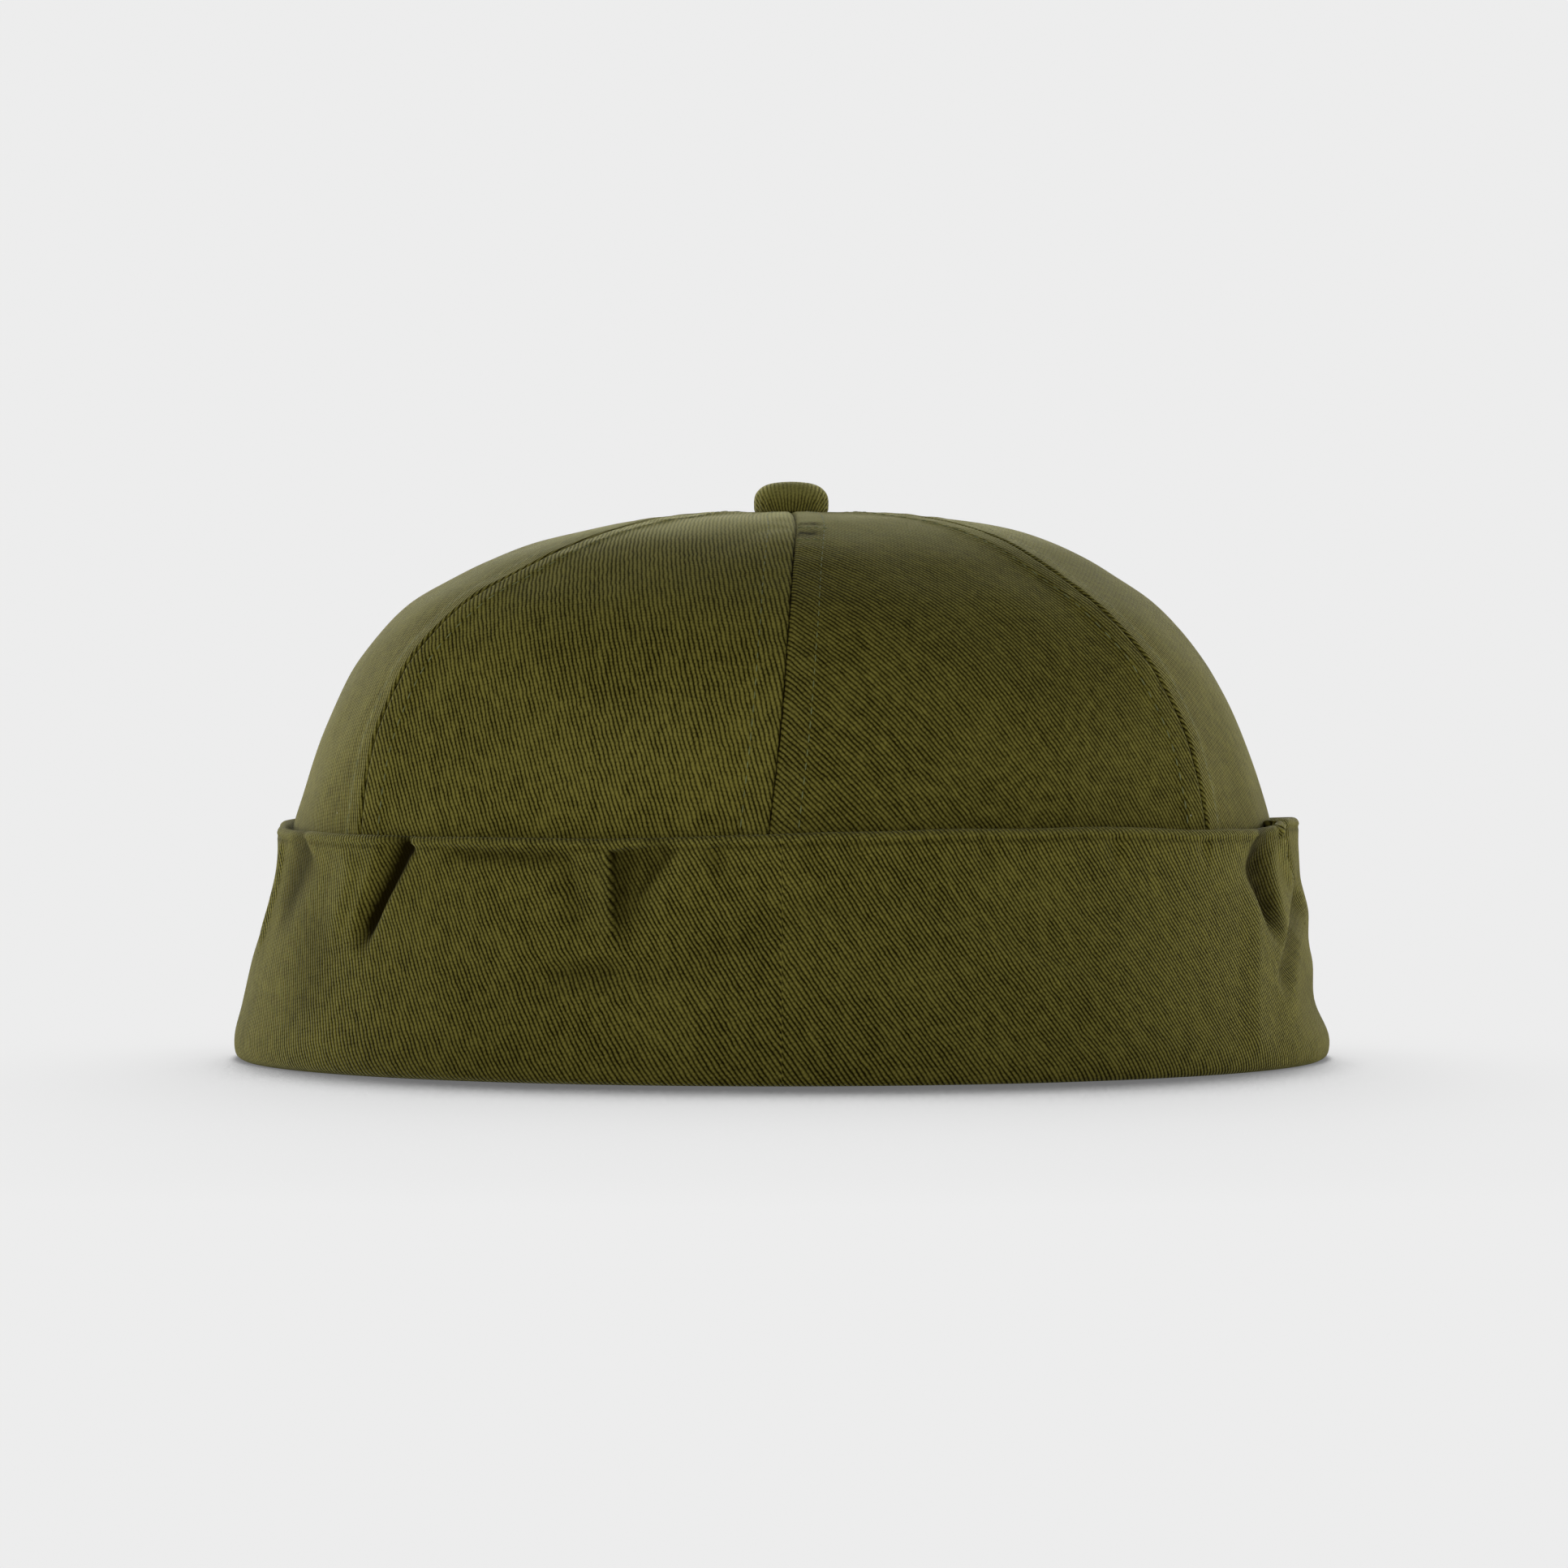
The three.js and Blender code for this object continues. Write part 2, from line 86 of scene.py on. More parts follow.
# Folds: depth (a dent, or a ridge if negative), reach to the left and right at the start and
# at the end, how creased, how much shade is painted in it, length of the start and end
# tapers, and the path as (degrees, height), from its start. Rows without depth only paint shade.
CUFF_FOLDS = (
    # the soft hollow at the far left, beside the outline
    (0.6, (12, 10), (6, 6), 0, 0.66, (2.4, 11), ((-61.6, 42.6), (-65.8, 34), (-69.8, 23))),
    (-0.8, (3, 2.6), (3, 3), 0, 0, (2, 9), ((-72.5, 42.3), (-74.6, 32), (-79, 18))),
    (1, (20, 24), (20, 24), 0, 0, (1, 12), ((-90, 46), (-90, 18))),
    # the deep dart on the left, whose right lip lies over it
    (2, (7.5, 3.2), (4.4, 2.4), 0, 0.55, (1, 11), (
        (-42.7, 43.6), (-45, 36), (-47.2, 28.5), (-48.8, 20.5),
    )),
    (0, (6.6, 2.8), (3.8, 2.2), 0, 1.45, (1.2, 9), (
        (-42.1, 42.9), (-44.3, 36.5), (-46.9, 28.5), (-48.7, 20.5),
    )),
    (-0.5, (1.2, 5), (1.2, 4), 0.2, 0, (2, 8), ((-42.4, 42), (-44.4, 34), (-46.2, 25))),
    (-0.5, (7, 4), (7, 4), 0, 0, (3, 8), ((-51.5, 41.5), (-53, 31), (-54, 22))),
    (0, (13, 12), (13, 12), 0, 0.32, (10, 8), ((-57, 34), (-57, 6))),
    # the soft shade under the edge, between the two darts
    (0.7, (3, 1.6), (3, 1.6), 0, 0.5, (8, 6), ((-39.5, 41.6), (-29.3, 41), (-20.6, 40.7))),
    # the V beside the front seam, with the ridges on both its sides
    (1.5, (0.45, 14.5), (0.8, 2.6), 0.3, 0.7, (0.8, 12), ((-17.9, 42.2), (-17.2, 31), (-16.3, 21))),
    (0.2, (0.45, 2.2), (0.8, 2), 0, 1.2, (0.6, 20), ((-17.8, 41.9), (-17.3, 34), (-16.8, 27))),
    (-0.35, (6, 0.6), (5, 0.8), 0, 0.16, (2, 9), ((-18.6, 41.5), (-17.9, 32), (-17, 22))),
    (0, (8, 1.6), (1.6, 1.2), 0, 0.55, (0.6, 5), ((-11, 42), (-13.4, 36.5), (-16.2, 30))),
    (-0.4, (2.5, 7), (2.5, 5), 0.1, 0, (2, 6), ((-9.8, 41.6), (-13, 34.8), (-15.4, 28))),
    (0.8, (4.5, 3.2), (4, 3), 0, 0.22, (3, 8), ((-23, 41.6), (-21.6, 32), (-20.6, 24))),
    # the short hollow under the V, and the long soft valley that climbs from it to the right
    (0.5, (3.4, 3.4), (3.4, 3.4), 0, 0.34, (6, 6), ((-25.5, 19.6), (-20, 20), (-14.5, 20.8))),
    (0.8, (6, 5), (5, 4), 0, 0.08, (14, 14), (
        (-32, 18.6), (-18, 19.2), (-8.2, 22.6), (-2, 29), (4.6, 32.6), (13, 33.4),
    )),
    # small flutes hanging from the edge
    (1.3, (2.5, 4.6), (1.5, 2.5), 0.2, 0.25, (0.7, 6), ((-7.2, 42.3), (-6, 34.5))),
    (0.8, (3, 3), (2, 2), 0.1, 0.08, (0.7, 5), ((2.6, 42.3), (3.4, 36))),
    (0.7, (3, 2), (2, 1.5), 0.1, 0.08, (0.7, 6), ((8.4, 42.5), (6.6, 34))),
    (0.6, (4, 4), (2, 2), 0, 0.08, (1, 6), ((22, 42.6), (21, 34))),
    (0.6, (4, 4), (2, 2), 0, 0.08, (1, 6), ((37, 42.6), (37.5, 35))),
    (0.5, (3, 3), (2, 2), 0, 0, (1, 6), ((50, 42.6), (51, 36))),
    # the pressed line that crosses the right half
    (-0.5, (1.2, 5), (1.2, 5), 0.9, 0, (8, 10), (
        (2.5, 33.9), (12.8, 29.3), (22.6, 21.6), (28.9, 17.5), (34.1, 15.4),
    )),
    # the dart at the right corner, and the strip that curls out beyond it
    (3.2, (9.5, 14), (5, 6), 0, 0.5, (8, 9), ((61, 42.9), (63.2, 35), (66.6, 26), (68.2, 22))),
    (0, (5, 15), (2, 5), 0, 0.85, (0.8, 9), ((61.6, 42.4), (64.4, 35), (67.4, 26), (68.6, 21))),
    (-1, (3.4, 1.8), (3, 1.8), 0.9, 0, (0.4, 5), ((70.8, 43.2), (73, 38), (79, 31.5))),
    (2.6, (2.8, 7), (2, 4), 0, 0.25, (1, 8), ((75.6, 43), (78.6, 37.5), (84, 32))),
    # the slanting hollow below the dart
    (1.6, (4.6, 4.6), (3.6, 4.6), 0, 0.4, (8, 8), ((88, 30.5), (76, 26), (63, 14))),
    # the pressed corner at the right, and the soft hollow above the fold
    (-0.9, (6, 9), (6, 9), 0.9, 0, (8, 5), ((62.4, 40), (58.6, 20), (55, 2.5))),
    (0.5, (6, 6), (6, 6), 0, 0, (12, 12), ((18.2, 8.4), (27.2, 7.5), (37, 7.6))),
    # the swollen right side, full above and hollow below
    (-1.9, (24, 30), (20, 26), 0, 0, (1, 18), ((94, 48), (91, 20))),
    (-1.1, (14, 20), (14, 20), 0, 0, (7, 8), ((90, 33.5), (90, 19))),
    (1.2, (34, 34), (34, 34), 0, 0.25, (8, 8), ((88, 19), (88, 3))),
    # the back, where the band falls in a few easy folds
    (1.6, (8, 9), (5, 5), 0, 0.12, (1.5, 14), ((114, 42.6), (111, 16))),
    (2.2, (9, 3.6), (6, 3), 0.1, 0.3, (1.2, 14), ((151, 42.6), (155, 20))),
    (0.8, (8, 8), (8, 8), 0, 0.08, (12, 12), ((165, 22), (180, 18), (200, 24))),
    (2, (3.4, 9), (2.6, 6), 0.1, 0.3, (1.2, 14), ((-155, 42.6), (-152, 18))),
    (1.5, (8, 8), (5, 5), 0, 0.12, (1.5, 14), ((-108, 42.6), (-111, 20))),
    (-0.5, (1.2, 4), (1.2, 4), 1, 0, (8, 10), ((-175, 14), (-160, 20), (-140, 13))),
)

# radius at which a fold's degrees become mm, how quickly a creased fold falls away beside its
# crease, and how the painted shade of a fold fades toward its rim
FOLD_RADIUS = 97.0
CREASE_POWER = 1.25
SHADE_POWER = 0.9

# The band is cut on a slight curve, so its wales lean more on the right than on the left:
# direction in degrees, slope of the wales
WALE_SLOPES = (
    (-180, 0.62), (-110, 0.5), (-75, 0.31), (-50, 0.41), (-37, 0.55), (-20, 0.56),
    (0, 0.62), (20, 0.68), (35, 0.72), (50, 0.66), (75, 0.6), (110, 0.64),
    (180, 0.62),
)

# Seams of the crown: how far each stands out of the oval, as a share of the radius
SEAM_CRESTS = {
    "front": 0.014,
    "front_right": 0.04,
    "back_right": 0.03,
    "back": 0.014,
    "back_left": 0.03,
    "front_left": 0.04,
}
SEAM_NAMES = tuple(SEAM_CRESTS)
# height, then the direction of each seam in the order above
SEAM_PATHS = (
    (9, -2.6, 53, 118, 180, 242, 308),
    (44, -1.3, 53.1, 118, 180, 242, 307.6),
    (63, -0.05, 53.4, 118, 180, 242, 306.1),
    (76, 0.65, 51.5, 119, 180, 241, 307),
    (86, 1.15, 49, 120, 180, 240, 310),
    (93, 0.9, 47.4, 121, 180, 239, 313.4),
    (98.5, 0.3, 47.6, 121, 180, 239, 313.2),
    (102, 0, 48, 121, 180, 239, 313),
)
# degrees over which a crest falls away, height at which it is full, and how round it is in
# the cuff
CREST_REACH = 30.0
CREST_FULL_HEIGHT = 60.0
CUFF_ROUND = 9.0
# shortest and longest wave of a random field, as shares of its length
LENGTH_SPREAD = (0.7, 1.6)


def smooth_step(x):
    x = np.clip(x, 0.0, 1.0)
    return x * x * (3 - 2 * x)


def ease(at, start, length):
    """Rises smoothly from 0 to 1 over a length from a start."""
    return smooth_step((at - start) / length)


def swell(size, place, soft, at):
    """A round swell of a size, centred on a place."""
    return size * np.exp(-(((at - place) / soft) ** 2))


def cubic(t, here, there, slope_here, slope_there):
    """A smooth curve from one value to the next, with a slope at each."""
    ends = here * (1 + 2 * t) * (1 - t) ** 2 + there * t * t * (3 - 2 * t)
    return ends + slope_here * t * (1 - t) ** 2 + slope_there * t * t * (t - 1)


def table_curve(table, column, at):
    """A smooth curve through one column of a table, read at values of its first column."""
    keys = np.array([row[0] for row in table], float)
    values = np.array([row[column] for row in table], float)
    slopes = np.gradient(values, keys)
    at = np.clip(at, keys[0], keys[-1])
    i = np.clip(np.searchsorted(keys, at, side="right") - 1, 0, len(keys) - 2)
    span = keys[i + 1] - keys[i]
    t = (at - keys[i]) / span
    return cubic(t, values[i], values[i + 1], slopes[i] * span, slopes[i + 1] * span)


def turn(start, end):
    return (end - start + 180.0) % 360.0 - 180.0


def oval_radius(half_width, half_depth, deg):
    angle = np.radians(deg)
    return 1 / np.hypot(np.sin(angle) / half_width, np.cos(angle) / half_depth)


def seam_direction(index, height):
    return table_curve(SEAM_PATHS, index + 1, height)


def seam_crest(deg, height, rounding):
    """How far the seams lift the cloth, as a share of the radius."""
    lift = 0.0
    for index, name in enumerate(SEAM_NAMES):
        away = np.hypot(turn(seam_direction(index, height), deg), rounding) - rounding
        lift = lift + SEAM_CRESTS[name] * np.clip(1 - away / CREST_REACH, 0, None) ** 2
    return lift * smooth_step(height / CREST_FULL_HEIGHT)


def ripples(points, wave, count=18):
    """A smooth random field of waves, each given as its size, its length in mm and its seed."""
    size, length, seed = wave
    draws = np.random.default_rng(seed)
    field = np.zeros(points.shape[:-1])
    for _ in range(count):
        way = draws.normal(size=3)
        way /= np.linalg.norm(way)
        span = length * draws.uniform(*LENGTH_SPREAD)
        field += np.sin(points @ way * (2 * math.pi / span) + draws.uniform(0, 2 * math.pi))
    return size * (field / math.sqrt(count * 2))


def fold_profile(across, crease):
    """Height of a fold at a share of its reach: round, or creased along its middle."""
    across = np.clip(across, 0, 1)
    soft = (1 - across) ** 2 * (1 + 2 * across)
    sharp = (1 - across) ** CREASE_POWER
    return soft * (1 - crease) + sharp * crease


def cuff_folds(deg, height):
    """Depth of all the folds of the cuff at each place, and the shade painted on their cloth."""
    shape = np.shape(deg)
    x = np.radians(turn(0.0, np.ravel(deg))) * FOLD_RADIUS
    z = np.ravel(np.broadcast_to(height, shape))
    total = np.zeros(len(x))
    shade = np.zeros(len(x))
    girth = math.radians(360) * FOLD_RADIUS
    for depth, first, last, crease, dark, tapers, path in CUFF_FOLDS:
        points = np.array([(math.radians(d) * FOLD_RADIUS, h) for d, h in path])
        lengths = np.linalg.norm(np.diff(points, axis=0), axis=1)
        whole = lengths.sum()
        best = np.full(len(x), np.inf)
        along = np.zeros(len(x))
        side = np.zeros(len(x))
        middle = points[:, 0].mean()
        local = x + np.round((middle - x) / girth) * girth
        run = 0.0
        for a, b, length in zip(points[:-1], points[1:], lengths):
            way = (b - a) / length
            t = (local - a[0]) * way[0] + (z - a[1]) * way[1]
            held = np.clip(t, 0, length)
            gap_x = local - (a[0] + way[0] * held)
            gap_z = z - (a[1] + way[1] * held)
            gap = np.hypot(gap_x, gap_z)
            closer = gap < best
            best = np.where(closer, gap, best)
            along = np.where(closer, run + held, along)
            # left of a path that runs down is the viewer's left
            side = np.where(closer, way[0] * (z - a[1]) - way[1] * (local - a[0]), side)
            run += length
        share = along / whole
        left = first[0] + (last[0] - first[0]) * share
        right = first[1] + (last[1] - first[1]) * share
        reach = np.where(side > 0, right, left)
        taper = smooth_step(along / tapers[0]) * smooth_step((whole - along) / tapers[1])
        level = taper * fold_profile(best / reach, crease)
        total += depth * level
        # the shade painted on the fold's cloth, fading toward its rim
        shade = np.maximum(shade, dark * level**SHADE_POWER)
    return total.reshape(shape), shade.reshape(shape)


def cuff_radius(deg, height):
    """Radius of the outer face of the cuff, with its folds and its easy unevenness."""
    oval = oval_radius(
        table_curve(CUFF_SECTIONS, 1, height), table_curve(CUFF_SECTIONS, 2, height), deg
    )
    lifted = oval * (1 + seam_crest(deg, height, CUFF_ROUND))
    angle = np.radians(deg)
    places = np.stack(
        [oval * np.sin(angle), -oval * np.cos(angle), np.broadcast_to(height, np.shape(oval))], -1
    )
    uneven = ripples(places, FACE_WAVES[0]) + ripples(places, FACE_WAVES[1])
    calm = smooth_step(height / CALM_FOOT)
    wander = ripples(places * [1.0, 1.0, 0.0], NECK_WANDER)
    rim = swell(*RIM_ROLL, height)
    neck = swell(NECK_DEPTH, RIM_NECK + wander, NECK_SOFT, height)
    return lifted - cuff_folds(deg, height)[0] + uneven * calm + rim - neck


def around(radius, deg, height):
    angle = np.radians(deg)
    height = np.broadcast_to(height, np.shape(radius))
    return np.stack([radius * np.sin(angle), -radius * np.cos(angle), height], -1)


def put(name, data):
    """An object of its own in the scene for a mesh, a light or a camera."""
    placed = bpy.data.objects.new(name, data)
    bpy.context.scene.collection.objects.link(placed)
    return placed


def make_mesh(name, points, quads, uvs, material, floats):
    """A mesh object from points in mm, quads, one UV for each corner, and values for each point."""
    mesh = bpy.data.meshes.new(name)
    mesh.vertices.add(len(points))
    mesh.vertices.foreach_set("co", (np.asarray(points) * MM).astype(np.float32).ravel())
    mesh.loops.add(quads.size)
    mesh.loops.foreach_set("vertex_index", quads.astype(np.int32).ravel())
    mesh.polygons.add(len(quads))
    mesh.polygons.foreach_set("loop_start", np.arange(0, quads.size, 4, dtype=np.int32))
    mesh.polygons.foreach_set("use_smooth", np.ones(len(quads), bool))
    layer = mesh.uv_layers.new(name="cloth")
    layer.data.foreach_set("uv", np.asarray(uvs, np.float32).ravel())
    for label, values in floats.items():
        attribute = mesh.attributes.new(name=label, type="FLOAT", domain="POINT")
        attribute.data.foreach_set("value", np.asarray(values, np.float32).ravel())
    mesh.update(calc_edges=True)
    mesh.validate()
    mesh.materials.append(material)
    return put(name, mesh)


def loft(rings, closed):
    """Quads of a grid of rings, each ring a loop; closed joins the last ring to the first."""
    count, size = rings
    i = np.arange(count if closed else count - 1)[:, None]
    j = np.arange(size)[None, :]
    k = (j + 1) % size
    n = (i + 1) % count
    return np.stack([i * size + j, i * size + k, n * size + k, n * size + j], -1).reshape(-1, 4)


class Graph:
    """Short calls for adding and joining nodes in one tree."""

    def __init__(self, tree):
        self.nodes = tree.nodes
        self.links = tree.links

    def join(self, source, target):
        if isinstance(source, (int, float, tuple)):
            target.default_value = source
        else:
            self.links.new(source, target)

    def feed(self, node, inputs):
        for key, source in inputs.items():
            self.join(source, node.inputs[key])
        return node

    def add(self, kind, inputs=None, **settings):
        node = self.nodes.new(kind)
        for key, value in settings.items():
            setattr(node, key, value)
        return self.feed(node, inputs or {})

    def math(self, operation, *values):
        node = self.add("ShaderNodeMath", dict(enumerate(values)), operation=operation)
        return node.outputs[0]

    def plus(self, first, second):
        return self.math("ADD", first, second)

    def minus(self, first, second):
        return self.math("SUBTRACT", first, second)

    def times(self, first, second):
        return self.math("MULTIPLY", first, second)

    def mix(self, share, first, second, blend="MIX"):
        inputs = {0: share, 6: first, 7: second}
        node = self.add("ShaderNodeMix", inputs, data_type="RGBA", blend_type=blend)
        return node.outputs[2]

    def noise(self, vector, scale, detail=2.0, roughness=0.5):
        inputs = {"Vector": vector, "Scale": scale, "Detail": detail, "Roughness": roughness}
        return self.add("ShaderNodeTexNoise", inputs).outputs["Fac"]

    def combine(self, *values):
        return self.add("ShaderNodeCombineXYZ", dict(enumerate(values))).outputs[0]


# how far the yarns wander, length of a float on a wale and its step to the next one, in mm
YARN_WANDER = 0.55
FLOAT_LENGTH = 0.75
FLOAT_STEP = 0.37
# lint: size of a cell and of a speck in mm, share of the cells without one, and its strength
LINT_CELL = 9.0
LINT_RADIUS = 0.13
LINT_NONE = 0.55
LINT_STRENGTH = 0.8


def twill_weave():
    """Twill cloth: slanting wales with dark furrows between them, in mm of the cloth."""
    group = bpy.data.node_groups.new("Twill Weave", "ShaderNodeTree")
    face = group.interface
    for label, kind, value in (
        ("Cloth Position", "Vector", (0.0, 0.0, 0.0)),
        ("Wale Slant", "Float", 0.54),
        ("Wale Pitch", "Float", 0.76),
        ("Ridge Colour", "Color", (0.226, 0.2, 0.04, 1)),
        ("Furrow Colour", "Color", (0.012, 0.009, 0.0, 1)),
        ("Worn And Painted Light Colour", "Color", (0.29, 0.27, 0.08, 1)),
        ("Painted Shade Colour", "Color", (0.01, 0.007, 0.0, 1)),
        ("Lint Colour", "Color", (0.5, 0.5, 0.36, 1)),
        ("Wear And Painted Light", "Float", 0.0),
        ("Painted Shade", "Float", 0.0),
        ("Painted Shade Break", "Float", 0.2),
    ):
        socket = face.new_socket(label, in_out="INPUT", socket_type="NodeSocket" + kind)
        socket.default_value = value
    for label, kind in (("Color", "Color"), ("Roughness", "Float"), ("Height", "Float")):
        face.new_socket(label, in_out="OUTPUT", socket_type="NodeSocket" + kind)
    g = Graph(group)
    given = g.add("NodeGroupInput").outputs
    result = g.add("NodeGroupOutput")
    place = given["Cloth Position"]
    parts = g.add("ShaderNodeSeparateXYZ", {0: place})
    u, v = parts.outputs[0], parts.outputs[1]
    cos = g.math("COSINE", given["Wale Slant"])
    sin = g.math("SINE", given["Wale Slant"])
    across = g.plus(g.times(u, cos), g.times(v, sin))
    along = g.minus(g.times(v, cos), g.times(u, sin))
    # yarns wander a little, so the wales are never ruled lines
    wander = g.minus(g.noise(place, 0.35), 0.5)
    across = g.plus(across, g.times(wander, YARN_WANDER))
    wale = g.math("DIVIDE", across, given["Wale Pitch"])
    wave = g.math("COSINE", g.times(wale, 2 * math.pi))
    ridge = g.plus(g.times(wave, -0.5), 0.5)
    ridge = g.math("POWER", ridge, 0.75)
    # each wale is a row of short floats, stepped from one wale to the next
    index = g.math("FLOOR", wale)
    step = g.times(index, FLOAT_STEP)
    step = g.plus(g.math("DIVIDE", along, FLOAT_LENGTH), step)
    float_wave = g.math("ABSOLUTE", g.math("SINE", g.times(step, math.pi)))
    bead = g.math("POWER", float_wave, 0.6)
    height = g.times(ridge, g.plus(g.times(bead, 0.42), 0.58))
    # slubs: each yarn has thicker and thinner, paler and darker stretches
    slub_place = g.combine(g.times(index, 3.7), g.times(along, 0.22), 0.0)
    slub = g.noise(slub_place, 1.0, 2.0, 0.6)
    # unevenness at three more scales, from single fibres to blotches of the wash
    grain = g.noise(place, 2.6, 3.0, 0.65)
    mottle = g.noise(place, 0.55, 3.0, 0.7)
    blotch = g.noise(place, 0.045, 3.0, 0.6)
    tone = height
    for field, strength in ((slub, 0.8), (grain, 0.95), (mottle, 0.5), (blotch, 0.35)):
        tone = g.plus(tone, g.times(g.minus(field, 0.5), strength))
    colour = g.mix(tone, given["Furrow Colour"], given["Ridge Colour"])
    # rubbed wear and painted light pale the ridges, and where strongest the furrows fade too
    ridged = g.times(height, g.minus(1.0, given["Wear And Painted Light"]))
    pale_share = g.times(given["Wear And Painted Light"], g.plus(ridged, given["Wear And Painted Light"]))
    pale_share = g.times(pale_share, g.minus(g.times(grain, 2.4), 0.25))
    colour = g.mix(pale_share, colour, given["Worn And Painted Light Colour"])
    # the painted shade of a crease comes and goes along it
    patches = g.times(g.noise(place, 0.6, 1.0), 9.0)
    patches = g.times(g.minus(patches, 4.9), given["Painted Shade Break"])
    broken = g.math("MAXIMUM", g.plus(patches, 1.0), 0.0)
    painted_shade_share = g.math("MINIMUM", g.times(given["Painted Shade"], broken), 1.0)
    colour = g.mix(painted_shade_share, colour, given["Painted Shade Colour"])
    # a few specks of lint lie in the cloth, one at most in each cell
    cells = g.add("ShaderNodeTexVoronoi", {"Vector": place, "Scale": 1 / LINT_CELL})
    chosen = g.math("GREATER_THAN", cells.outputs["Color"], LINT_NONE)
    speck = g.math("LESS_THAN", cells.outputs["Distance"], LINT_RADIUS / LINT_CELL)
    speck = g.times(g.times(speck, chosen), LINT_STRENGTH)
    g.feed(result, {
        "Color": g.mix(speck, colour, given["Lint Colour"]),
        "Roughness": g.minus(0.98, g.times(height, 0.1)),
        "Height": g.plus(height, g.times(grain, 0.25)),
    })
    return group


TWILL = twill_weave()


def node_material(name):
    """A new material with nodes, and the short calls for its tree."""
    material = bpy.data.materials.new(name)
    material.use_nodes = True
    return material, Graph(material.node_tree)


def twill_cloth(name, slant, bump, painted_shade_break):
    """Olive washed twill on a piece whose UV map is in mm along the cloth's own threads."""
    material, g = node_material(name)
    place = g.add("ShaderNodeUVMap", uv_map="cloth")
    # the wear attribute holds rubbed wear, and painted light toward the crown's top and on some
    # panels
    wear_and_painted_light = g.add("ShaderNodeAttribute", attribute_name="wear_and_painted_light")
    # the crease attribute holds painted shade: in folds, seams and tack furrows, under the roll and
    # on some panels
    crease = g.add("ShaderNodeAttribute", attribute_name="crease").outputs["Fac"]
    weave = g.add("ShaderNodeGroup", node_tree=TWILL)
    g.feed(weave, {
        "Cloth Position": place.outputs[0],
        "Wale Slant": slant,
        "Painted Shade Break": painted_shade_break,
        "Wear And Painted Light": wear_and_painted_light.outputs["Fac"],
        "Painted Shade": crease,
    })
    height = weave.outputs["Height"]
    relief = g.add("ShaderNodeBump", {"Strength": 1.0, "Distance": bump * MM, "Height": height})
    # the fuzz catches no light where shade is painted, as in the bottom of a fold
    open_share = g.minus(1.0, g.math("MINIMUM", crease, 1.0))
    g.feed(g.nodes["Principled BSDF"], {
        "Base Color": weave.outputs["Color"],
        "Roughness": weave.outputs["Roughness"],
        "Normal": relief.outputs[0],
        "Specular IOR Level": 0.03,
        "Sheen Weight": g.times(open_share, 0.2),
        "Sheen Roughness": 0.3,
        "Sheen Tint": (1.0, 1.0, 0.56, 1),
    })
    return material


WALE_SLANT = math.radians(31)
# rows of points of the outer face: heights of the foot, then (from, to, step), closer above
FOOT_HEIGHTS = (0, 0.3, 0.7, 1.2, 1.8, 2.5, 3.4)
ROW_SPANS = ((4.5, 20, 1.1), (20, 36, 0.75), (36, 41.2, 0.45), (41.2, 42.7, 0.24))
INNER_HEIGHTS = (42, 40.5, 38.5, 36, 33, 30, 26, 22, 18, 14, 10, 6.5, 4.5)
# half width and half depth of the line where the panels are sewn to the inner ply
SEWN_OVAL = (95.4, 99.4)
# the trough of the fold between the two plies: its floor, its sides and how far they lean
TROUGH_FLOOR = 2.2
TROUGH_SIDE = 3.0
TROUGH_LEAN = (0.6, 0.5)
# the inner ply, up its outer face and down its inner one: distance from the sewn line, height
PLY_TOP = 8.75
PLY_OUTLINE = (
    (0, 5), (0, 7), (0, PLY_TOP),
    (-CLOTH, PLY_TOP), (-CLOTH, 6.0), (-CLOTH, 3.2),
    (0.25 - CLOTH, 1.6), (0.9 - CLOTH, 0.6), (2.6 - CLOTH, 0.0),
)
# mm of cloth: radius that stands for the girth, run of the last row, and the run up to which
# the wales keep leaning
GIRTH_RADIUS = 98.0
LAST_RUN = 3.0
LEANING_RUN = 60.0
# wear: stations on each side that a ridge is compared with, passes of the comparison, how
# proud a ridge is when fully rubbed, and how rubbed ridges and the rolled edge are
RIDGE_STATIONS = 12
RIDGE_PASSES = 3
RIDGE_PROUD = 0.8
RIDGE_WEAR = 0.22
BEAD_WEAR = 0.2
# the shadow painted under the roll, along the neck: strength, height, softness
NECK_SHADOW = (0.3, RIM_NECK - 0.4, 0.4)

cuff_cloth = twill_cloth("olive twill, cuff", WALE_SLANT, 0.22, 0.06)

even = np.linspace(0, 2 * math.pi, CUFF_STATIONS, endpoint=False)
cuff_deg = np.degrees(even - FRONT_CROWDING * np.sin(even))
outer_heights = np.concatenate([FOOT_HEIGHTS, *(np.arange(*span) for span in ROW_SPANS)])
bead_low = CUFF_HEIGHT - CUFF_WALL / 2
deg_grid, height_grid = np.meshgrid(cuff_deg, outer_heights, indexing="ij")
outer_radius = cuff_radius(deg_grid, height_grid)
edge_place = around(np.full(CUFF_STATIONS, FOLD_RADIUS), cuff_deg, CUFF_HEIGHT)
edge_rise = table_curve(CUFF_EDGE, 1, turn(0.0, cuff_deg)) + ripples(edge_place, EDGE_WAVE)
edge_lift = edge_rise / CUFF_HEIGHT


def lifted(height):
    """Heights of the cuff follow the rise and fall of its edge, more so near the top."""
    share = smooth_step(np.asarray(height) / CUFF_HEIGHT)
    return height * (1 + (edge_lift[:, None] - 1) * share)


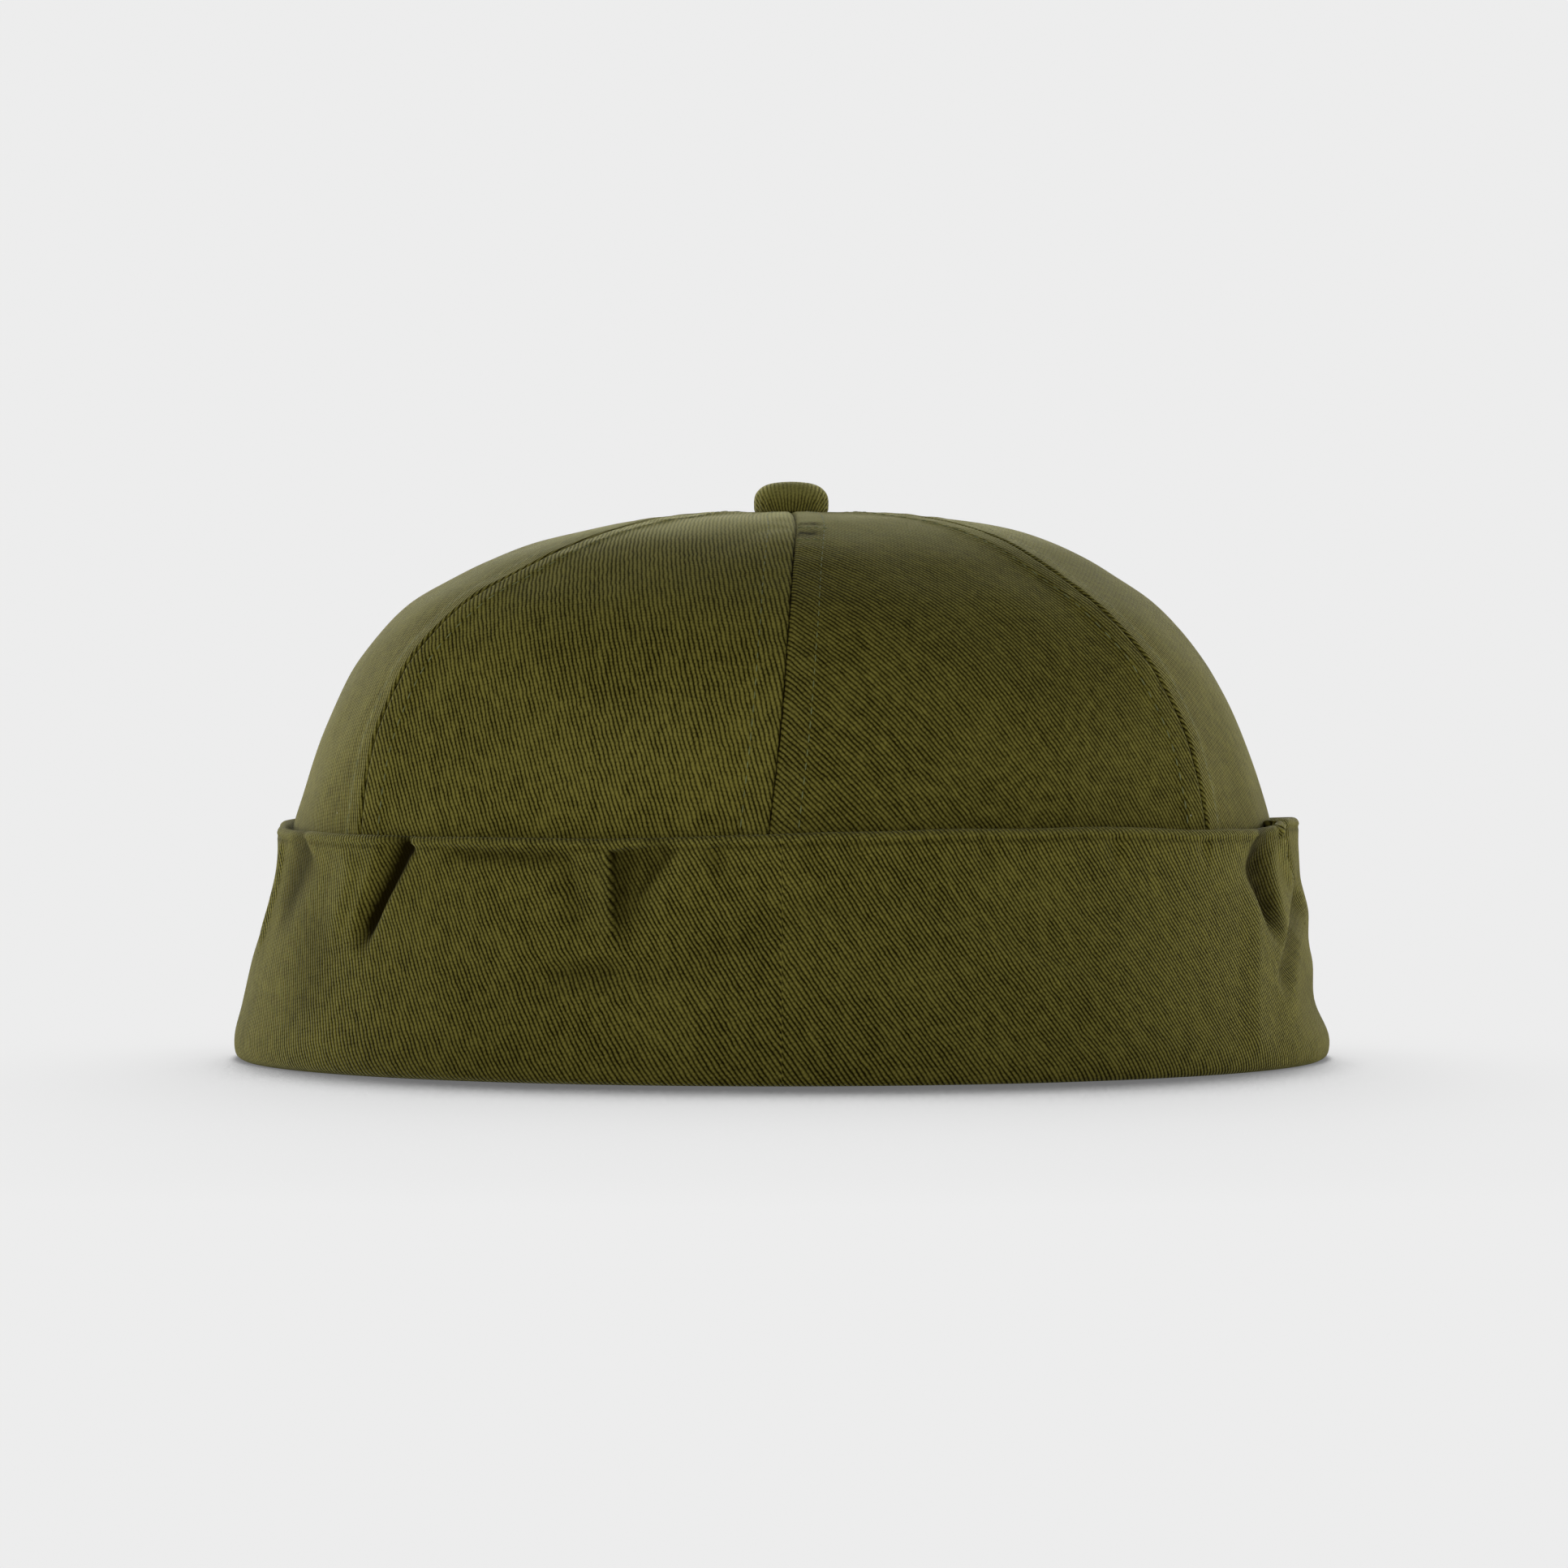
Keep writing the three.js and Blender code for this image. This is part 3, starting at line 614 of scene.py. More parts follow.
# the rolled edge is a half round from the outer face over to the inner one
bead_angle = np.linspace(0, math.pi, BEAD_TURNS)
edge_radius = cuff_radius(cuff_deg, np.full(CUFF_STATIONS, bead_low))
bead_radius = edge_radius[:, None] - CUFF_WALL / 2 + CUFF_WALL / 2 * np.cos(bead_angle)
bead_height = bead_low + CUFF_WALL / 2 * np.sin(bead_angle)
deg_inner, height_inner = np.meshgrid(cuff_deg, INNER_HEIGHTS, indexing="ij")
inner_radius = cuff_radius(deg_inner, height_inner) - CUFF_WALL
sewn_radius = oval_radius(*SEWN_OVAL, cuff_deg)
trough = np.stack([
    inner_radius[:, -1] - TROUGH_LEAN[0],
    (inner_radius[:, -1] + sewn_radius) / 2,
    sewn_radius + TROUGH_LEAN[1],
], 1)
ply_outline = np.array(PLY_OUTLINE)
ply = sewn_radius[:, None] + ply_outline[:, 0]
section_radius = np.concatenate([outer_radius, bead_radius, inner_radius, trough, ply], 1)
section_height = np.concatenate([
    lifted(height_grid),
    lifted(np.broadcast_to(bead_height, bead_radius.shape)),
    lifted(height_inner),
    np.broadcast_to([TROUGH_SIDE, TROUGH_FLOOR, TROUGH_SIDE], trough.shape),
    np.broadcast_to(ply_outline[:, 1], ply.shape),
], 1)
section_deg = np.broadcast_to(cuff_deg[:, None], section_radius.shape)
cuff_points = around(section_radius, section_deg, section_height)
stations, rows = section_radius.shape
cuff_quads = loft((stations, rows), True)[:, ::-1]
girth_mm = np.radians(np.append(cuff_deg, cuff_deg[0] + 360.0)) * GIRTH_RADIUS
run_mm = np.concatenate([
    [0.0], np.cumsum(np.hypot(np.diff(section_radius[0]), np.diff(section_height[0]))),
])
run_mm = np.append(run_mm, run_mm[-1] + LAST_RUN)
cell_i, cell_j = np.meshgrid(np.arange(stations), np.arange(rows), indexing="ij")
corner_i = np.stack([cell_i, cell_i, cell_i + 1, cell_i + 1], -1).reshape(-1, 4)[:, ::-1]
corner_j = np.stack([cell_j, cell_j + 1, cell_j + 1, cell_j], -1).reshape(-1, 4)[:, ::-1]
slopes = table_curve(WALE_SLOPES, 1, turn(0.0, np.append(cuff_deg, cuff_deg[0])))
leaning = slopes - math.tan(WALE_SLANT)
sheared = leaning[corner_i] * (np.minimum(run_mm[corner_j], LEANING_RUN) - CUFF_HEIGHT / 2)
cuff_uvs = np.stack([girth_mm[corner_i] + sheared, run_mm[corner_j]], -1)

# ridges of the folds are rubbed paler, from how far the face stands out of its surroundings,
# and shade is painted into the folds, under the roll and over the rolled edge where folds cross it
smoothed = outer_radius.copy()
for _ in range(RIDGE_PASSES):
    padded = np.concatenate([smoothed[-RIDGE_STATIONS:], smoothed, smoothed[:RIDGE_STATIONS]], 0)
    smoothed = np.mean([padded[k:k + stations] for k in range(2 * RIDGE_STATIONS + 1)], 0)
proud = outer_radius - smoothed
face = slice(0, len(outer_heights))
bead = slice(face.stop, face.stop + BEAD_TURNS)
cuff_wear = np.zeros(section_radius.shape)
cuff_wear[:, face] = np.clip(proud / RIDGE_PROUD, 0, 1) * RIDGE_WEAR
cuff_wear[:, bead] = BEAD_WEAR
neck_shadow = swell(*NECK_SHADOW, outer_heights)
bead_deg = np.broadcast_to(cuff_deg[:, None], bead_radius.shape)
cuff_painted_shade = np.zeros(section_radius.shape)
cuff_painted_shade[:, face] = np.maximum(cuff_folds(deg_grid, height_grid)[1], neck_shadow)
cuff_painted_shade[:, bead] = cuff_folds(bead_deg, bead_height)[1]

# the cuff's crease values are painted shade
cuff = make_mesh(
    "cuff_cloth", cuff_points.reshape(-1, 3), cuff_quads, cuff_uvs, cuff_cloth,
    {"wear_and_painted_light": cuff_wear, "crease": cuff_painted_shade},
)
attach(cuff, "root")
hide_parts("cuff")

# The crown panels
# Six cut panels of the same twill, seamed to a soft dome. Each seam is felled: its turnings
# make a raised band on both sides, held by a row of topstitching, with a furrow between.

# height, half width, half depth, sideways shift
CROWN_SECTIONS = (
    (9.3, 95.4, 99.4, 0), (21, 93, 96.9, 0), (32, 91.7, 95.5, 0),
    (40, 91.4, 95.1, 0), (44, 91.1, 94.7, 0), (50, 89.4, 93.2, 0),
    (56, 87.4, 91.3, 0), (62, 85.1, 89.2, 0), (68, 82.3, 86.6, 0),
    (74, 78.9, 83.4, 0), (80, 74.2, 78.8, 0), (85, 68.9, 73.4, 0.1),
    (89.5, 62.1, 66.2, 0.6), (93, 56, 59.4, 1.2), (96, 49.2, 51.9, 1.9),
    (98.5, 41.3, 43.2, 2.4), (100.3, 33, 34.2, 2.3), (101.3, 24, 24.6, 2.05),
    (101.8, 14, 14.2, 1.8), (102, 2.1, 2.1, 1.75),
)
PANEL_NAMES = (
    "panel_front_right", "panel_side_right", "panel_back_right",
    "panel_back_left", "panel_side_left", "panel_front_left",
)
FINE_STEPS = 6000
PANEL_ROW_STEP = 1.15
PANEL_MIDDLE = 58
# distances from a seam, in mm, where the cloth of its band is shaped
SEAM_COLUMNS = np.array([
    0, 0.08, 0.2, 0.4, 0.75, 1.1, 1.6, 2.3, 3.1, 3.9, 4.4, 4.7, 5.0, 5.3, 5.7, 6.4, 7.4, 8.8,
])
STITCH_COLUMN = 12
# two short rows of stitches secure the front seam beside the button
TACK_COLUMNS = slice(4, 13)
TACK_HEIGHTS = (98.2, 95.8)
# the furrows they draw into the cloth, painted as shade only (height, softness), how dark that
# painted shade is, and where it starts and ends beside the seam and over how far
TACK_SHADE_LINES = ((98.9, 0.22), (97, 0.6))
TACK_SHADE = 0.75
TACK_START = (0, 0.6)
TACK_END = (3.5, 2.5)
# half of a panel's width, in mm, below which its seam bands narrow together
NARROWEST = 12.0
# air between the cuff's inside and a panel, and how far below the edge a panel gives way
CUFF_ROOM = 0.45
HIDDEN_BELOW = 1.5


def crown_row(at, column):
    """One column of the crown's sections on a curve through its rows."""
    values = np.array([row[column] for row in CROWN_SECTIONS], float)
    last = len(values) - 1
    i = np.clip(np.floor(at).astype(int), 0, last - 1)
    t = at - i
    before = values[np.clip(i - 1, 0, last)]
    here = values[i]
    there = values[i + 1]
    after = values[np.clip(i + 2, 0, last)]
    return cubic(t, here, there, (there - before) / 2, (after - here) / 2)


def crown_dome(deg, at, crested):
    height = crown_row(at, 0)
    oval = oval_radius(crown_row(at, 1), crown_row(at, 2), deg)
    radius = oval * (1 + seam_crest(deg, height, 0.0)) if crested else oval
    points = around(radius, deg, height)
    points[..., 0] += crown_row(at, 3)
    return points


def crown_normal(deg, at):
    step = 0.02
    step_deg = 0.5
    above = crown_dome(deg, np.minimum(at + step, len(CROWN_SECTIONS) - 1), False)
    below = crown_dome(deg, np.maximum(at - step, 0), False)
    side = crown_dome(deg + step_deg, at, False) - crown_dome(deg - step_deg, at, False)
    out = np.cross(side, above - below)
    return out / np.linalg.norm(out, axis=-1, keepdims=True)


# relief beside a seam, in mm. Furrow and stitched line: depth, place, softness. Band of
# turnings: height, then where it starts to rise and to fall and over how far.
SEAM_FURROW = (0.2, 0, 0.16)
BAND_HEIGHT = 0.3
BAND_RISE = (0.1, 0.8)
BAND_FALL = (4.6, 1.6)
STITCHED_LINE = (0.12, 5, 0.4)
# the extra ply of the turnings, inside: thickness, where it ends and over how far
TURNINGS = 0.45
TURNINGS_END = (4.6, 0.9)
# the relief keeps its height until its bands have narrowed by this factor
RELIEF_FULL = 1.5


def seam_relief(gap):
    """Height of the cloth at a distance from its seam: furrow, band, stitched line, flat."""
    band = BAND_HEIGHT * ease(gap, *BAND_RISE) * (1 - ease(gap, *BAND_FALL))
    return band - swell(*SEAM_FURROW, gap) - swell(*STITCHED_LINE, gap)


# a panel's wales keep one direction, so its cloth is laid flat from its middle outwards
DOME_MIDDLE = (0, 0, 15)
DOME_RADIUS = 94.0
PANEL_TILT = math.radians(31)
# each panel was cut a few degrees off the straight grain
PANEL_GRAIN = (3, -3, 2, -1, 4, -5)
# each panel catches the light a little differently, painted on its cloth: shade darker below,
# light paler above, each from a height on and over how far
PANEL_PAINTED_SHADE = (0.17, 0.1, 0.04, 0, 0.03, 0)
PAINTED_SHADE_END = (91, 5)
PANEL_PAINTED_LIGHT = (0.04, 0, 0.05, 0.1, 0.06, 0.24)
PAINTED_LIGHT_RISE = (74, 16)
# puckers beside the stitches: size, length and seed of their waves, how they stretch away
# from the seam, what sets sides and panels apart, and place and reach of their row
PUCKER_WAVE = (0.13, 6, 11)
PUCKER_STRETCH = 0.35
PUCKER_SIDES = 400.0
PUCKER_PANELS = 90.0
PUCKER_ROW = (3.2, 3.2)
# the easy unevenness of the cloth, which dies out at a seam and toward the button
EASY_WAVES = ((0.32, 38, 21), (0.1, 15, 22))
EASY_SEAM = 10.0
EASY_TOP = (98, 8)
# how far the looks lie inside the crown form, below and toward the button
SUNK = 0.2
SUNK_TOP = 0.4
SUNK_RISE = (92, 8)
# wear of the raised bands, and wear with painted light on the crown's top
BAND_WEAR = 0.3
BAND_FULL = 0.6
TOP_WEAR_AND_LIGHT = 0.46
TOP_RISE = (94.5, 5)
# the shade painted along a seam's furrow, its softness, and how it pales toward the button
SEAM_SHADE = 1.1
SEAM_SOFT = 0.17
SEAM_PALER = 0.6
SEAM_RISE = (93, 5)
# stitches start above this height and stop where a panel is narrower than this
STITCHES_FROM = 40.0
STITCHES_WIDTH = 13.5


def flat_cloth(points, deg, grain):
    """Where points of the dome lie on the flat cloth of a panel that faces a direction."""
    reach = points - np.array(DOME_MIDDLE)
    reach = reach / np.linalg.norm(reach, axis=-1, keepdims=True)
    turned = math.radians(deg)
    level = np.array([math.sin(turned), -math.cos(turned), 0.0])
    east = np.array([math.cos(turned), math.sin(turned), 0.0])
    out = level * math.cos(PANEL_TILT) + np.array([0.0, 0.0, math.sin(PANEL_TILT)])
    north = np.cross(out, east)
    place = np.stack([reach @ east, reach @ north], -1)
    length = np.maximum(np.linalg.norm(place, axis=-1, keepdims=True), 1e-9)
    place = place / length * np.arccos(np.clip(reach @ out, -1, 1))[..., None] * DOME_RADIUS
    x, y = place[..., 0], place[..., 1]
    cos = math.cos(math.radians(grain))
    sin = math.sin(math.radians(grain))
    return np.stack([x * cos + y * sin, y * cos - x * sin], -1)


fine = np.linspace(0, len(CROWN_SECTIONS) - 1, FINE_STEPS)
fine_steps = np.hypot(np.diff(crown_row(fine, 1)), np.diff(crown_row(fine, 0)))
fine_run = np.concatenate([[0.0], np.cumsum(fine_steps)])
row_run = np.linspace(0, fine_run[-1], int(fine_run[-1] / PANEL_ROW_STEP) + 1)
row_at = np.interp(row_run, fine_run, fine)
row_height = crown_row(row_at, 0)

panel_cloth = twill_cloth("olive twill, panels", WALE_SLANT, 0.1, 0.35)
stitch_rows = []
for index, name in enumerate(PANEL_NAMES):
    start = seam_direction(index, row_height)
    width_deg = (seam_direction((index + 1) % len(SEAM_NAMES), row_height) - start) % 360.0
    middle = start + width_deg / 2
    oval = oval_radius(crown_row(row_at, 1), crown_row(row_at, 2), middle)
    width_mm = np.radians(width_deg) * oval
    squeeze = np.minimum(1.0, width_mm / 2 / NARROWEST)
    near = SEAM_COLUMNS[None, :] * squeeze[:, None]
    share = np.linspace(0, 1, PANEL_MIDDLE + 2)[None, 1:-1]
    between = near[:, -1:] + (width_mm[:, None] - 2 * near[:, -1:]) * share
    across = np.concatenate([near, between, width_mm[:, None] - near[:, ::-1]], 1)
    deg = start[:, None] + width_deg[:, None] * across / width_mm[:, None]
    rows_of = (row_at, row_height, row_run)
    at, height, run = (np.broadcast_to(row[:, None], deg.shape) for row in rows_of)
    base = crown_dome(deg, at, True)
    # inside the cuff the panel gives way to the cuff's dents
    hidden = height < CUFF_HEIGHT - HIDDEN_BELOW
    radius = np.hypot(base[..., 0], base[..., 1])
    room = cuff_radius(deg, np.minimum(height, CUFF_HEIGHT)) - CUFF_WALL - CUFF_ROOM
    tuck = np.where(hidden, np.minimum(1.0, room / radius), 1.0)
    base[..., :2] *= tuck[..., None]
    normal = crown_normal(deg, at)
    from_left = across
    from_right = width_mm[:, None] - across
    gap = np.minimum(from_left, from_right)
    relief = seam_relief(gap) * np.minimum(1.0, squeeze[:, None] * RELIEF_FULL)
    # the thread draws the cloth into small puckers beside each seam
    side_key = np.where(from_left < from_right, 0.0, PUCKER_SIDES)
    panel_key = np.full(deg.shape, PUCKER_PANELS * index)
    pucker_place = np.stack([run, gap * PUCKER_STRETCH + side_key, panel_key], -1)
    pucker = swell(ripples(pucker_place, PUCKER_WAVE), *PUCKER_ROW, gap)
    easy = ripples(base, EASY_WAVES[0]) + ripples(base, EASY_WAVES[1])
    easy = easy * ease(gap, 0.0, EASY_SEAM) * (1 - ease(height, *EASY_TOP))
    sunk = SUNK + SUNK_TOP * ease(height, *SUNK_RISE)
    lift = relief + pucker + easy - sunk
    outer = base + normal * lift[..., None]
    seam_ply = TURNINGS * (1 - ease(gap, *TURNINGS_END)) * squeeze[:, None]
    inner = base - normal * (CLOTH + seam_ply)[..., None]
    rings = np.concatenate([outer, inner[:, ::-1]], 1)
    count, size = rings.shape[:2]
    quads = loft((count, size), False)
    half = size // 2
    j = np.arange(half - 1)
    lid = np.stack([j, size - 1 - j, size - 2 - j, j + 1], -1)
    quads = np.concatenate([quads, lid, (lid + (count - 1) * size)[:, ::-1]])
    cloth = flat_cloth(base, middle[0], PANEL_GRAIN[index])
    ring_uv = np.concatenate([cloth, cloth[:, ::-1]], 1).reshape(-1, 2)
    # rubbed wear of the bands, with painted light toward the top and on some panels
    wear_and_painted_light = np.clip(lift + sunk, 0, BAND_FULL) * BAND_WEAR + TOP_WEAR_AND_LIGHT * ease(height, *TOP_RISE)
    wear_and_painted_light = wear_and_painted_light + PANEL_PAINTED_LIGHT[index] * ease(height, *PAINTED_LIGHT_RISE)
    # painted shade: along each seam's furrow, darker on some panels, and in the tacks' furrows
    seam_shade = (SEAM_SHADE - SEAM_PALER * ease(height, *SEAM_RISE)) * squeeze[:, None]
    panel_shade = PANEL_PAINTED_SHADE[index] * (1 - ease(height, *PAINTED_SHADE_END))
    crease = np.maximum(swell(seam_shade, 0.0, SEAM_SOFT, gap), panel_shade)
    if name == "panel_front_right":
        for level, soft in TACK_SHADE_LINES:
            tack_line_shade = swell(TACK_SHADE, level, soft, height) * ease(from_left, *TACK_START)
            crease = np.maximum(crease, tack_line_shade * (1 - ease(from_left, *TACK_END)))
    piece = make_mesh(
        name + "_cloth", rings.reshape(-1, 3), quads, ring_uv[quads], panel_cloth,
        {
            "wear_and_painted_light": np.concatenate([wear_and_painted_light, np.zeros_like(wear_and_painted_light)], 1),
            "crease": np.concatenate([crease, np.zeros_like(crease)], 1),
        },
    )
    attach(piece, "root")
    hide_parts(name)
    seen = (row_height > STITCHES_FROM) & (width_mm > STITCHES_WIDTH)
    stitch_rows.append(outer[seen, STITCH_COLUMN])
    stitch_rows.append(outer[seen, half - 1 - STITCH_COLUMN])
    if name == "panel_front_right":
        tack_at = [np.abs(row_height - level).argmin() for level in TACK_HEIGHTS]
        tack_rows = [outer[row, TACK_COLUMNS] for row in tack_at]

# The topstitching
# A row of cotton thread on each side of every seam, five millimetres from it, sewn through
# the panel and the turning under it. The rows stop short of the button, where seams meet.

STITCH_PITCH = 2.6
STITCH_LENGTH = 1.7
STITCH_SCALES = (0.86, 1.06)
THREAD_RADIUS = 0.12
TACK_PITCH = 1.3
TACK_LENGTH = 1.1
TACK_RADIUS = 0.18


def thread_cotton():
    material, g = node_material("olive cotton thread")
    tone = g.noise(g.add("ShaderNodeTexCoord").outputs["Object"], 900.0)
    colour = g.mix(tone, (0.12, 0.13, 0.045, 1), (0.19, 0.21, 0.075, 1))
    g.feed(g.nodes["Principled BSDF"], {"Base Color": colour, "Roughness": 0.75})
    return material


def stitch_tree():
    """Geometry nodes: a row of short stitches along each guide line."""
    tree = bpy.data.node_groups.new("Topstitch Rows", "GeometryNodeTree")
    face = tree.interface
    face.new_socket("Geometry", in_out="INPUT", socket_type="NodeSocketGeometry")
    for label, kind in (
        ("Stitch Pitch", "Float"),
        ("Stitch Length", "Float"),
        ("Thread Radius", "Float"),
        ("Seed", "Int"),
        ("Thread", "Material"),
    ):
        face.new_socket(label, in_out="INPUT", socket_type="NodeSocket" + kind)
    face.new_socket("Geometry", in_out="OUTPUT", socket_type="NodeSocketGeometry")
    g = Graph(tree)
    given = g.add("NodeGroupInput").outputs
    guide = g.add("GeometryNodeMeshToCurve", {0: given["Geometry"]}).outputs[0]
    spacing = {"Curve": guide, "Length": given["Stitch Pitch"]}
    steps = g.add("GeometryNodeResampleCurve", spacing, mode="LENGTH")
    ball = {"Segments": 8, "Rings": 6, "Radius": 1.0}
    stitch = g.add("GeometryNodeMeshUVSphere", ball).outputs["Mesh"]
    half = g.times(given["Stitch Length"], 0.5)
    size = g.combine(half, given["Thread Radius"], given["Thread Radius"])
    shape = g.add("GeometryNodeTransform", {"Geometry": stitch, "Scale": size})
    tangent = g.add("GeometryNodeInputTangent").outputs[0]
    turned = g.add("FunctionNodeAlignRotationToVector", {"Vector": tangent}, axis="X")
    scale = g.add("FunctionNodeRandomValue", data_type="FLOAT")
    g.feed(scale, {2: STITCH_SCALES[0], 3: STITCH_SCALES[1], "Seed": given["Seed"]})
    sewn = g.add("GeometryNodeInstanceOnPoints", {
        "Points": steps.outputs[0],
        "Instance": shape.outputs[0],
        "Rotation": turned.outputs[0],
        "Scale": scale.outputs[1],
    })
    real = g.add("GeometryNodeRealizeInstances", {0: sewn.outputs[0]})
    smooth = g.add("GeometryNodeSetShadeSmooth", {0: real.outputs[0]})
    look = {"Geometry": smooth.outputs[0], "Material": given["Thread"]}
    finish = g.add("GeometryNodeSetMaterial", look)
    g.add("NodeGroupOutput", {"Geometry": finish.outputs[0]})
    return tree


STITCHES = stitch_tree()
THREAD = thread_cotton()


def sew(name, rows, pitch, length, radius, seed):
    """A plain mesh of stitches along rows of points in mm."""
    points = np.concatenate(rows) * MM
    edges = []
    first = 0
    for row in rows:
        edges += [(first + k, first + k + 1) for k in range(len(row) - 1)]
        first += len(row)
    guide = bpy.data.meshes.new(name + "_guide")
    guide.from_pydata(points.tolist(), edges, [])
    holder = put(name + "_guide", guide)
    modifier = holder.modifiers.new("stitches", "NODES")
    modifier.node_group = STITCHES
    inputs = {
        "Stitch Pitch": pitch * MM,
        "Stitch Length": length * MM,
        "Thread Radius": radius * MM,
        "Seed": seed,
        "Thread": THREAD,
    }
    for item in STITCHES.interface.items_tree:
        if item.in_out == "INPUT" and item.name in inputs:
            modifier[item.identifier] = inputs[item.name]
    graph = bpy.context.evaluated_depsgraph_get()
    mesh = bpy.data.meshes.new_from_object(holder.evaluated_get(graph))
    bpy.data.objects.remove(holder)
    piece = put(name, mesh)
    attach(piece, "root")


sew("topstitching", stitch_rows, STITCH_PITCH, STITCH_LENGTH, THREAD_RADIUS, 5)
sew("back_tacks", tack_rows, TACK_PITCH, TACK_LENGTH, TACK_RADIUS, 6)

# The button
# A round button covered with the same twill, drawn down over its rim and gathered beneath.
# It is pinned through the apex and held inside by a small disc.

BUTTON_X = 1.75
BUTTON_TURNS = 144
# radius, height of the cover from its middle out and down, then the hidden post and disc
BUTTON_PROFILE = (
    (0, 107.3), (1.3, 107.27), (2.6, 107.15), (3.8, 106.95), (4.9, 106.58),
    (5.75, 106.05), (6.4, 105.35), (6.75, 104.6), (6.88, 103.7), (6.88, 102.7),
    (6.78, 101.85), (6.2, 101.5), (3.5, 101.6), (1.7, 101.65), (1.7, 100.5),
    (4.5, 100.5), (4.5, 99.5), (0, 99.5),
)
# the cover ends at this row; the rest is plain
COVER_ROWS = 12
BUTTON_PINHOLE = 0.02
# gathers under the cover's rim: how many, how far they drift together, in radians, their
# depth, and where along the cloth they rise
BUTTON_GATHERS = 22
GATHER_DRIFT = 1.3
PLEAT = 0.07
GATHER_RISE = (6, 3)
# the cloth lies straight up to this run from the middle, and leans by this share beyond it
COVER_FLAT = 6.0
COVER_LEAN = 0.85
# wear at the foot, more on the shoulder, and where it rises
BUTTON_WEAR = (0.28, 0.6)
BUTTON_RISE = (102.5, 4)

button_cloth = twill_cloth("olive twill, button", 0.0, 0.2, 0.0)
profile = np.array(BUTTON_PROFILE)
keys = np.arange(len(profile), dtype=float)
profile_table = np.column_stack([keys, profile])
cover_at = np.linspace(0, COVER_ROWS, 4 * COVER_ROWS + 1)
plain = profile[COVER_ROWS + 1:]
dense_r = np.concatenate([table_curve(profile_table, 1, cover_at), plain[:, 0]])
dense_z = np.concatenate([table_curve(profile_table, 2, cover_at), plain[:, 1]])
dense_r = np.clip(dense_r, BUTTON_PINHOLE, None)
phi = np.linspace(0, 2 * math.pi, BUTTON_TURNS, endpoint=False)
drawn = np.concatenate([[0.0], np.cumsum(np.hypot(np.diff(dense_r), np.diff(dense_z)))])
gather = ease(drawn, *GATHER_RISE) * (np.arange(len(drawn)) < len(cover_at))
pleat = PLEAT * np.cos(phi * BUTTON_GATHERS + GATHER_DRIFT * np.sin(3 * phi))[:, None] * gather
button_r = dense_r[None, :] + pleat
button_points = np.stack([
    BUTTON_X + button_r * np.cos(phi)[:, None],
    button_r * np.sin(phi)[:, None],
    np.broadcast_to(dense_z, button_r.shape),
], -1)
turns, steps = button_r.shape
button_quads = loft((turns, steps), True)
# the profile is open, so the quads that would join its end to its start go
row_of = button_quads % steps
button_quads = button_quads[(row_of.max(1) < steps - 1) | (row_of.min(1) > 0)]
# the cloth's threads run straight over the top and lean outwards down the sides
spread_out = np.minimum(drawn, COVER_FLAT) + np.clip(drawn - COVER_FLAT, 0, None) * COVER_LEAN
down = drawn - spread_out
cloth_u = spread_out[None, :] * np.cos(phi)[:, None]
cloth_v = spread_out[None, :] * np.sin(phi)[:, None] - down[None, :]
button_uv = np.stack([cloth_u, cloth_v], -1).reshape(-1, 2)
# rubbed pale over the shoulder, darker toward the foot
button_wear = BUTTON_WEAR[0] + BUTTON_WEAR[1] * ease(dense_z, *BUTTON_RISE)
button = make_mesh(
    "button_cover", button_points.reshape(-1, 3), button_quads, button_uv[button_quads], button_cloth,
    {"wear_and_painted_light": np.tile(button_wear, turns), "crease": np.zeros(turns * steps)},
)
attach(button, "root")
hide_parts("button")

# Floor, light and camera
# A plain pale floor that glows evenly, with the cap's shadow painted on it. Soft light: low
# panels behind and beside the cap, one in front and weak ones above. The camera stands in front,
# a little above the cuff, far off on a long lens.

FLOOR_SIZE = 8.0
CAMERA_DISTANCE = 1.450
CAMERA_HEIGHT = 0.0727
CAMERA_X = 0.0004
CAMERA_DROP = math.radians(0.862)
LENS = 178.3
# brightness of the floor and room as the camera sees them, of the floor as the cap does, and
# of the room as the cap does
BACKDROP = 0.846
FLOOR_BOUNCE = 0.8
ROOM_LIGHT = 0.02
# how far the cap's painted shadow reaches toward the front and close round its foot
SHADE_REACH = 0.3
CONTACT_REACH = 0.02
SHADE_SLOPE = (0, 0.9, 0.44)
# share of open sky behind a point of the floor, and how bright the floor is painted there
FLOOR_SHADES = (
    (0, 0.15), (0.57, 0.18), (0.61, 0.19), (0.65, 0.28), (0.672, 0.65),
    (0.7, 0.8), (0.77, 0.85), (0.82, 0.872), (0.9, 0.945), (1, 1),
)
CONTACT_SLOPE = (0, 0.8, 0.6)
CONTACT_SHADES = ((0.3, 0.25), (0.5, 0.6), (0.65, 0.92), (0.8, 1))
# from this far out to the side, in metres, the wide painted shadow is lifted, as light from the
# sides would fill it, and only the close one is left
SIDE_START = 0.05
SIDE_FULL = 0.16
SIDE_FILL = 0.84


